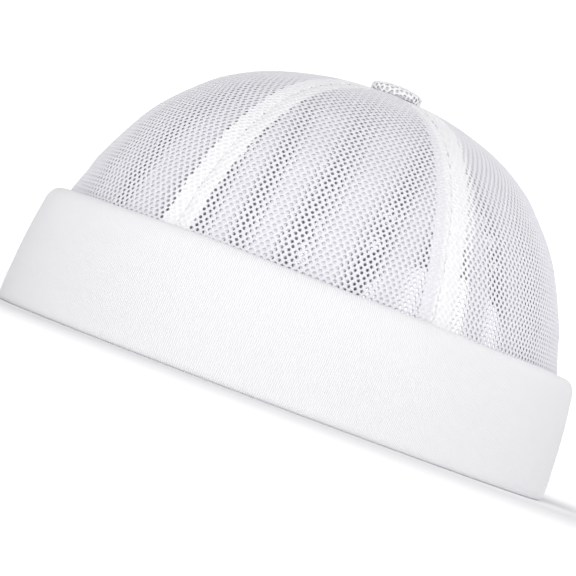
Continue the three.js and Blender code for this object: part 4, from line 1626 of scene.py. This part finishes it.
class BEANIE_OT_stage(bpy.types.Operator):
    """Sets up the pale floor and backdrop, the lights and the camera"""

    bl_idname = "beanie.stage"
    bl_label = "Stage"

    def execute(self, context):
        settings = context.scene.beanie.stage
        self.floor(settings)
        self.lights(settings.key)
        self.world(context.scene, settings.sky)
        self.camera(context.scene, settings)
        return {"FINISHED"}

    def floor(self, settings):
        """A round floor that curves up into a wall on all sides."""
        outline = [(0.0, 0.0), (1.0, 0.0), (FLOOR_REACH, 0.0)]
        corner = (FLOOR_REACH + BACKDROP_RADIUS, 0.0)
        outline += list(bezier((FLOOR_REACH, 0.0), corner, (corner[0], BACKDROP_RADIUS), steps=16))
        outline += [(corner[0], BACKDROP_TOP)]
        material, sketch = new_material("floor", settings.floor_color)
        spot = sketch.spot()
        reach = sketch.node("ShaderNodeVectorMath", {"operation": "LENGTH"}, {0: spot}).out("Value")
        near = ((reach - GLOW_START) / GLOW_NEAR_REACH).clamped(0, 1)
        far = ((reach - GLOW_FAR_START) / GLOW_FAR_REACH).clamped(0, 1)
        facing = sketch.node("ShaderNodeVectorMath", {"operation": "DOT_PRODUCT"}, {
            0: spot, 1: GLOW_SIDE}).out("Value") / reach
        side = (facing + GLOW_SPREAD).clamped(GLOW_LEAST, 1)
        bright = near * ((side - GLOW_NEAR) * far + GLOW_NEAR)
        glow = sketch.mix(bright, (0.0, 0.0, 0.0, 1.0), (0.99, 0.99, 1.0, 1.0))
        tone = sketch.mix(far, (*settings.floor_color, 1), (0.3, 0.3, 0.3, 1.0))
        sketch.finish_material({
            "Base Color": tone, "Roughness": 0.9, "Specular IOR Level": 0.1,
            "Emission Color": glow, "Emission Strength": settings.glow})
        points = spun(np.array(outline), np.linspace(0, FULL_TURN, 97))
        mesh = sheet_mesh("floor", points, points[..., :2], material)
        show("floor", mesh)

    def lights(self, power):
        for name, place, breadth, share, color in LIGHTS:
            lamp = bpy.data.lights.new(name, "AREA")
            lamp.shape = "DISK"
            lamp.size = breadth
            lamp.energy = share * power
            lamp.color = color
            holder = bpy.data.objects.new(name, lamp)
            holder.location = place
            course = Vector(HAT_MIDDLE) - Vector(place)
            holder.rotation_euler = course.to_track_quat("-Z", "Y").to_euler()
            bpy.context.collection.objects.link(holder)

    def world(self, scene, strength):
        world = bpy.data.worlds.new("studio")
        world.use_nodes = True
        world.node_tree.nodes.clear()
        sketch = Sketch(world.node_tree)
        light = sketch.node("ShaderNodeBackground", inputs={
            "Color": (0.95, 0.955, 1.0, 1), "Strength": strength})
        sketch.node("ShaderNodeOutputWorld", inputs={"Surface": light})
        scene.world = world
        scene.view_settings.view_transform = "Standard"
        scene.view_settings.look = "None"

    def camera(self, scene, settings):
        """A long lens just above the floor, tilted as the photograph is."""
        middle = Vector(HAT_MIDDLE)
        rise = math.asin((settings.lens_height - middle.z) / settings.distance)
        back = Vector((math.sin(settings.azimuth) * math.cos(rise),
                       -math.cos(settings.azimuth) * math.cos(rise), math.sin(rise)))
        place = middle + back * settings.distance
        camera = bpy.data.cameras.new("camera")
        camera.lens = settings.lens
        camera.sensor_width = 36
        camera.clip_start = 0.05
        camera.clip_end = 50
        holder = bpy.data.objects.new("camera", camera)
        look = (Vector(AIM) - place).to_track_quat("-Z", "Y").to_matrix().to_4x4()
        holder.matrix_world = Matrix.Translation(place) @ look @ Matrix.Rotation(settings.roll, 4, "Z")
        bpy.context.collection.objects.link(holder)
        scene.camera = holder


# Add-on

STEPS = (
    BEANIE_OT_stage, BEANIE_OT_net_crown, BEANIE_OT_seam_tapes, BEANIE_OT_button, BEANIE_OT_cuff,
    BEANIE_OT_sweatband, BEANIE_OT_binding, BEANIE_OT_straps, BEANIE_OT_buckle, BEANIE_OT_stitches,
)


class BEANIE_PT_panel(bpy.types.Panel):
    """The beanie's settings and steps."""

    bl_idname = "BEANIE_PT_panel"
    bl_label = "Mesh beanie"
    bl_space_type = "VIEW_3D"
    bl_region_type = "UI"
    bl_category = "Beanie"

    def draw(self, context):
        beanie = context.scene.beanie
        for group in (beanie.net, beanie.cloth, beanie.stitch, beanie.metal, beanie.stage):
            box = self.layout.box()
            for name in group.__annotations__:
                box.prop(group, name)
        for step in STEPS:
            self.layout.operator(step.bl_idname)


CLASSES = (
    NetSettings, ClothSettings, StitchSettings, MetalSettings, StageSettings, BeanieSettings,
    *STEPS, BEANIE_PT_panel,
)


def register():
    for part in CLASSES:
        bpy.utils.register_class(part)
    bpy.types.Scene.beanie = PointerProperty(type=BeanieSettings)


def unregister():
    del bpy.types.Scene.beanie
    for part in reversed(CLASSES):
        bpy.utils.unregister_class(part)


def main():
    register()
    for step in STEPS:
        category, name = step.bl_idname.split(".")
        getattr(getattr(bpy.ops, category), name)()


if __name__ == "__main__":
    main()
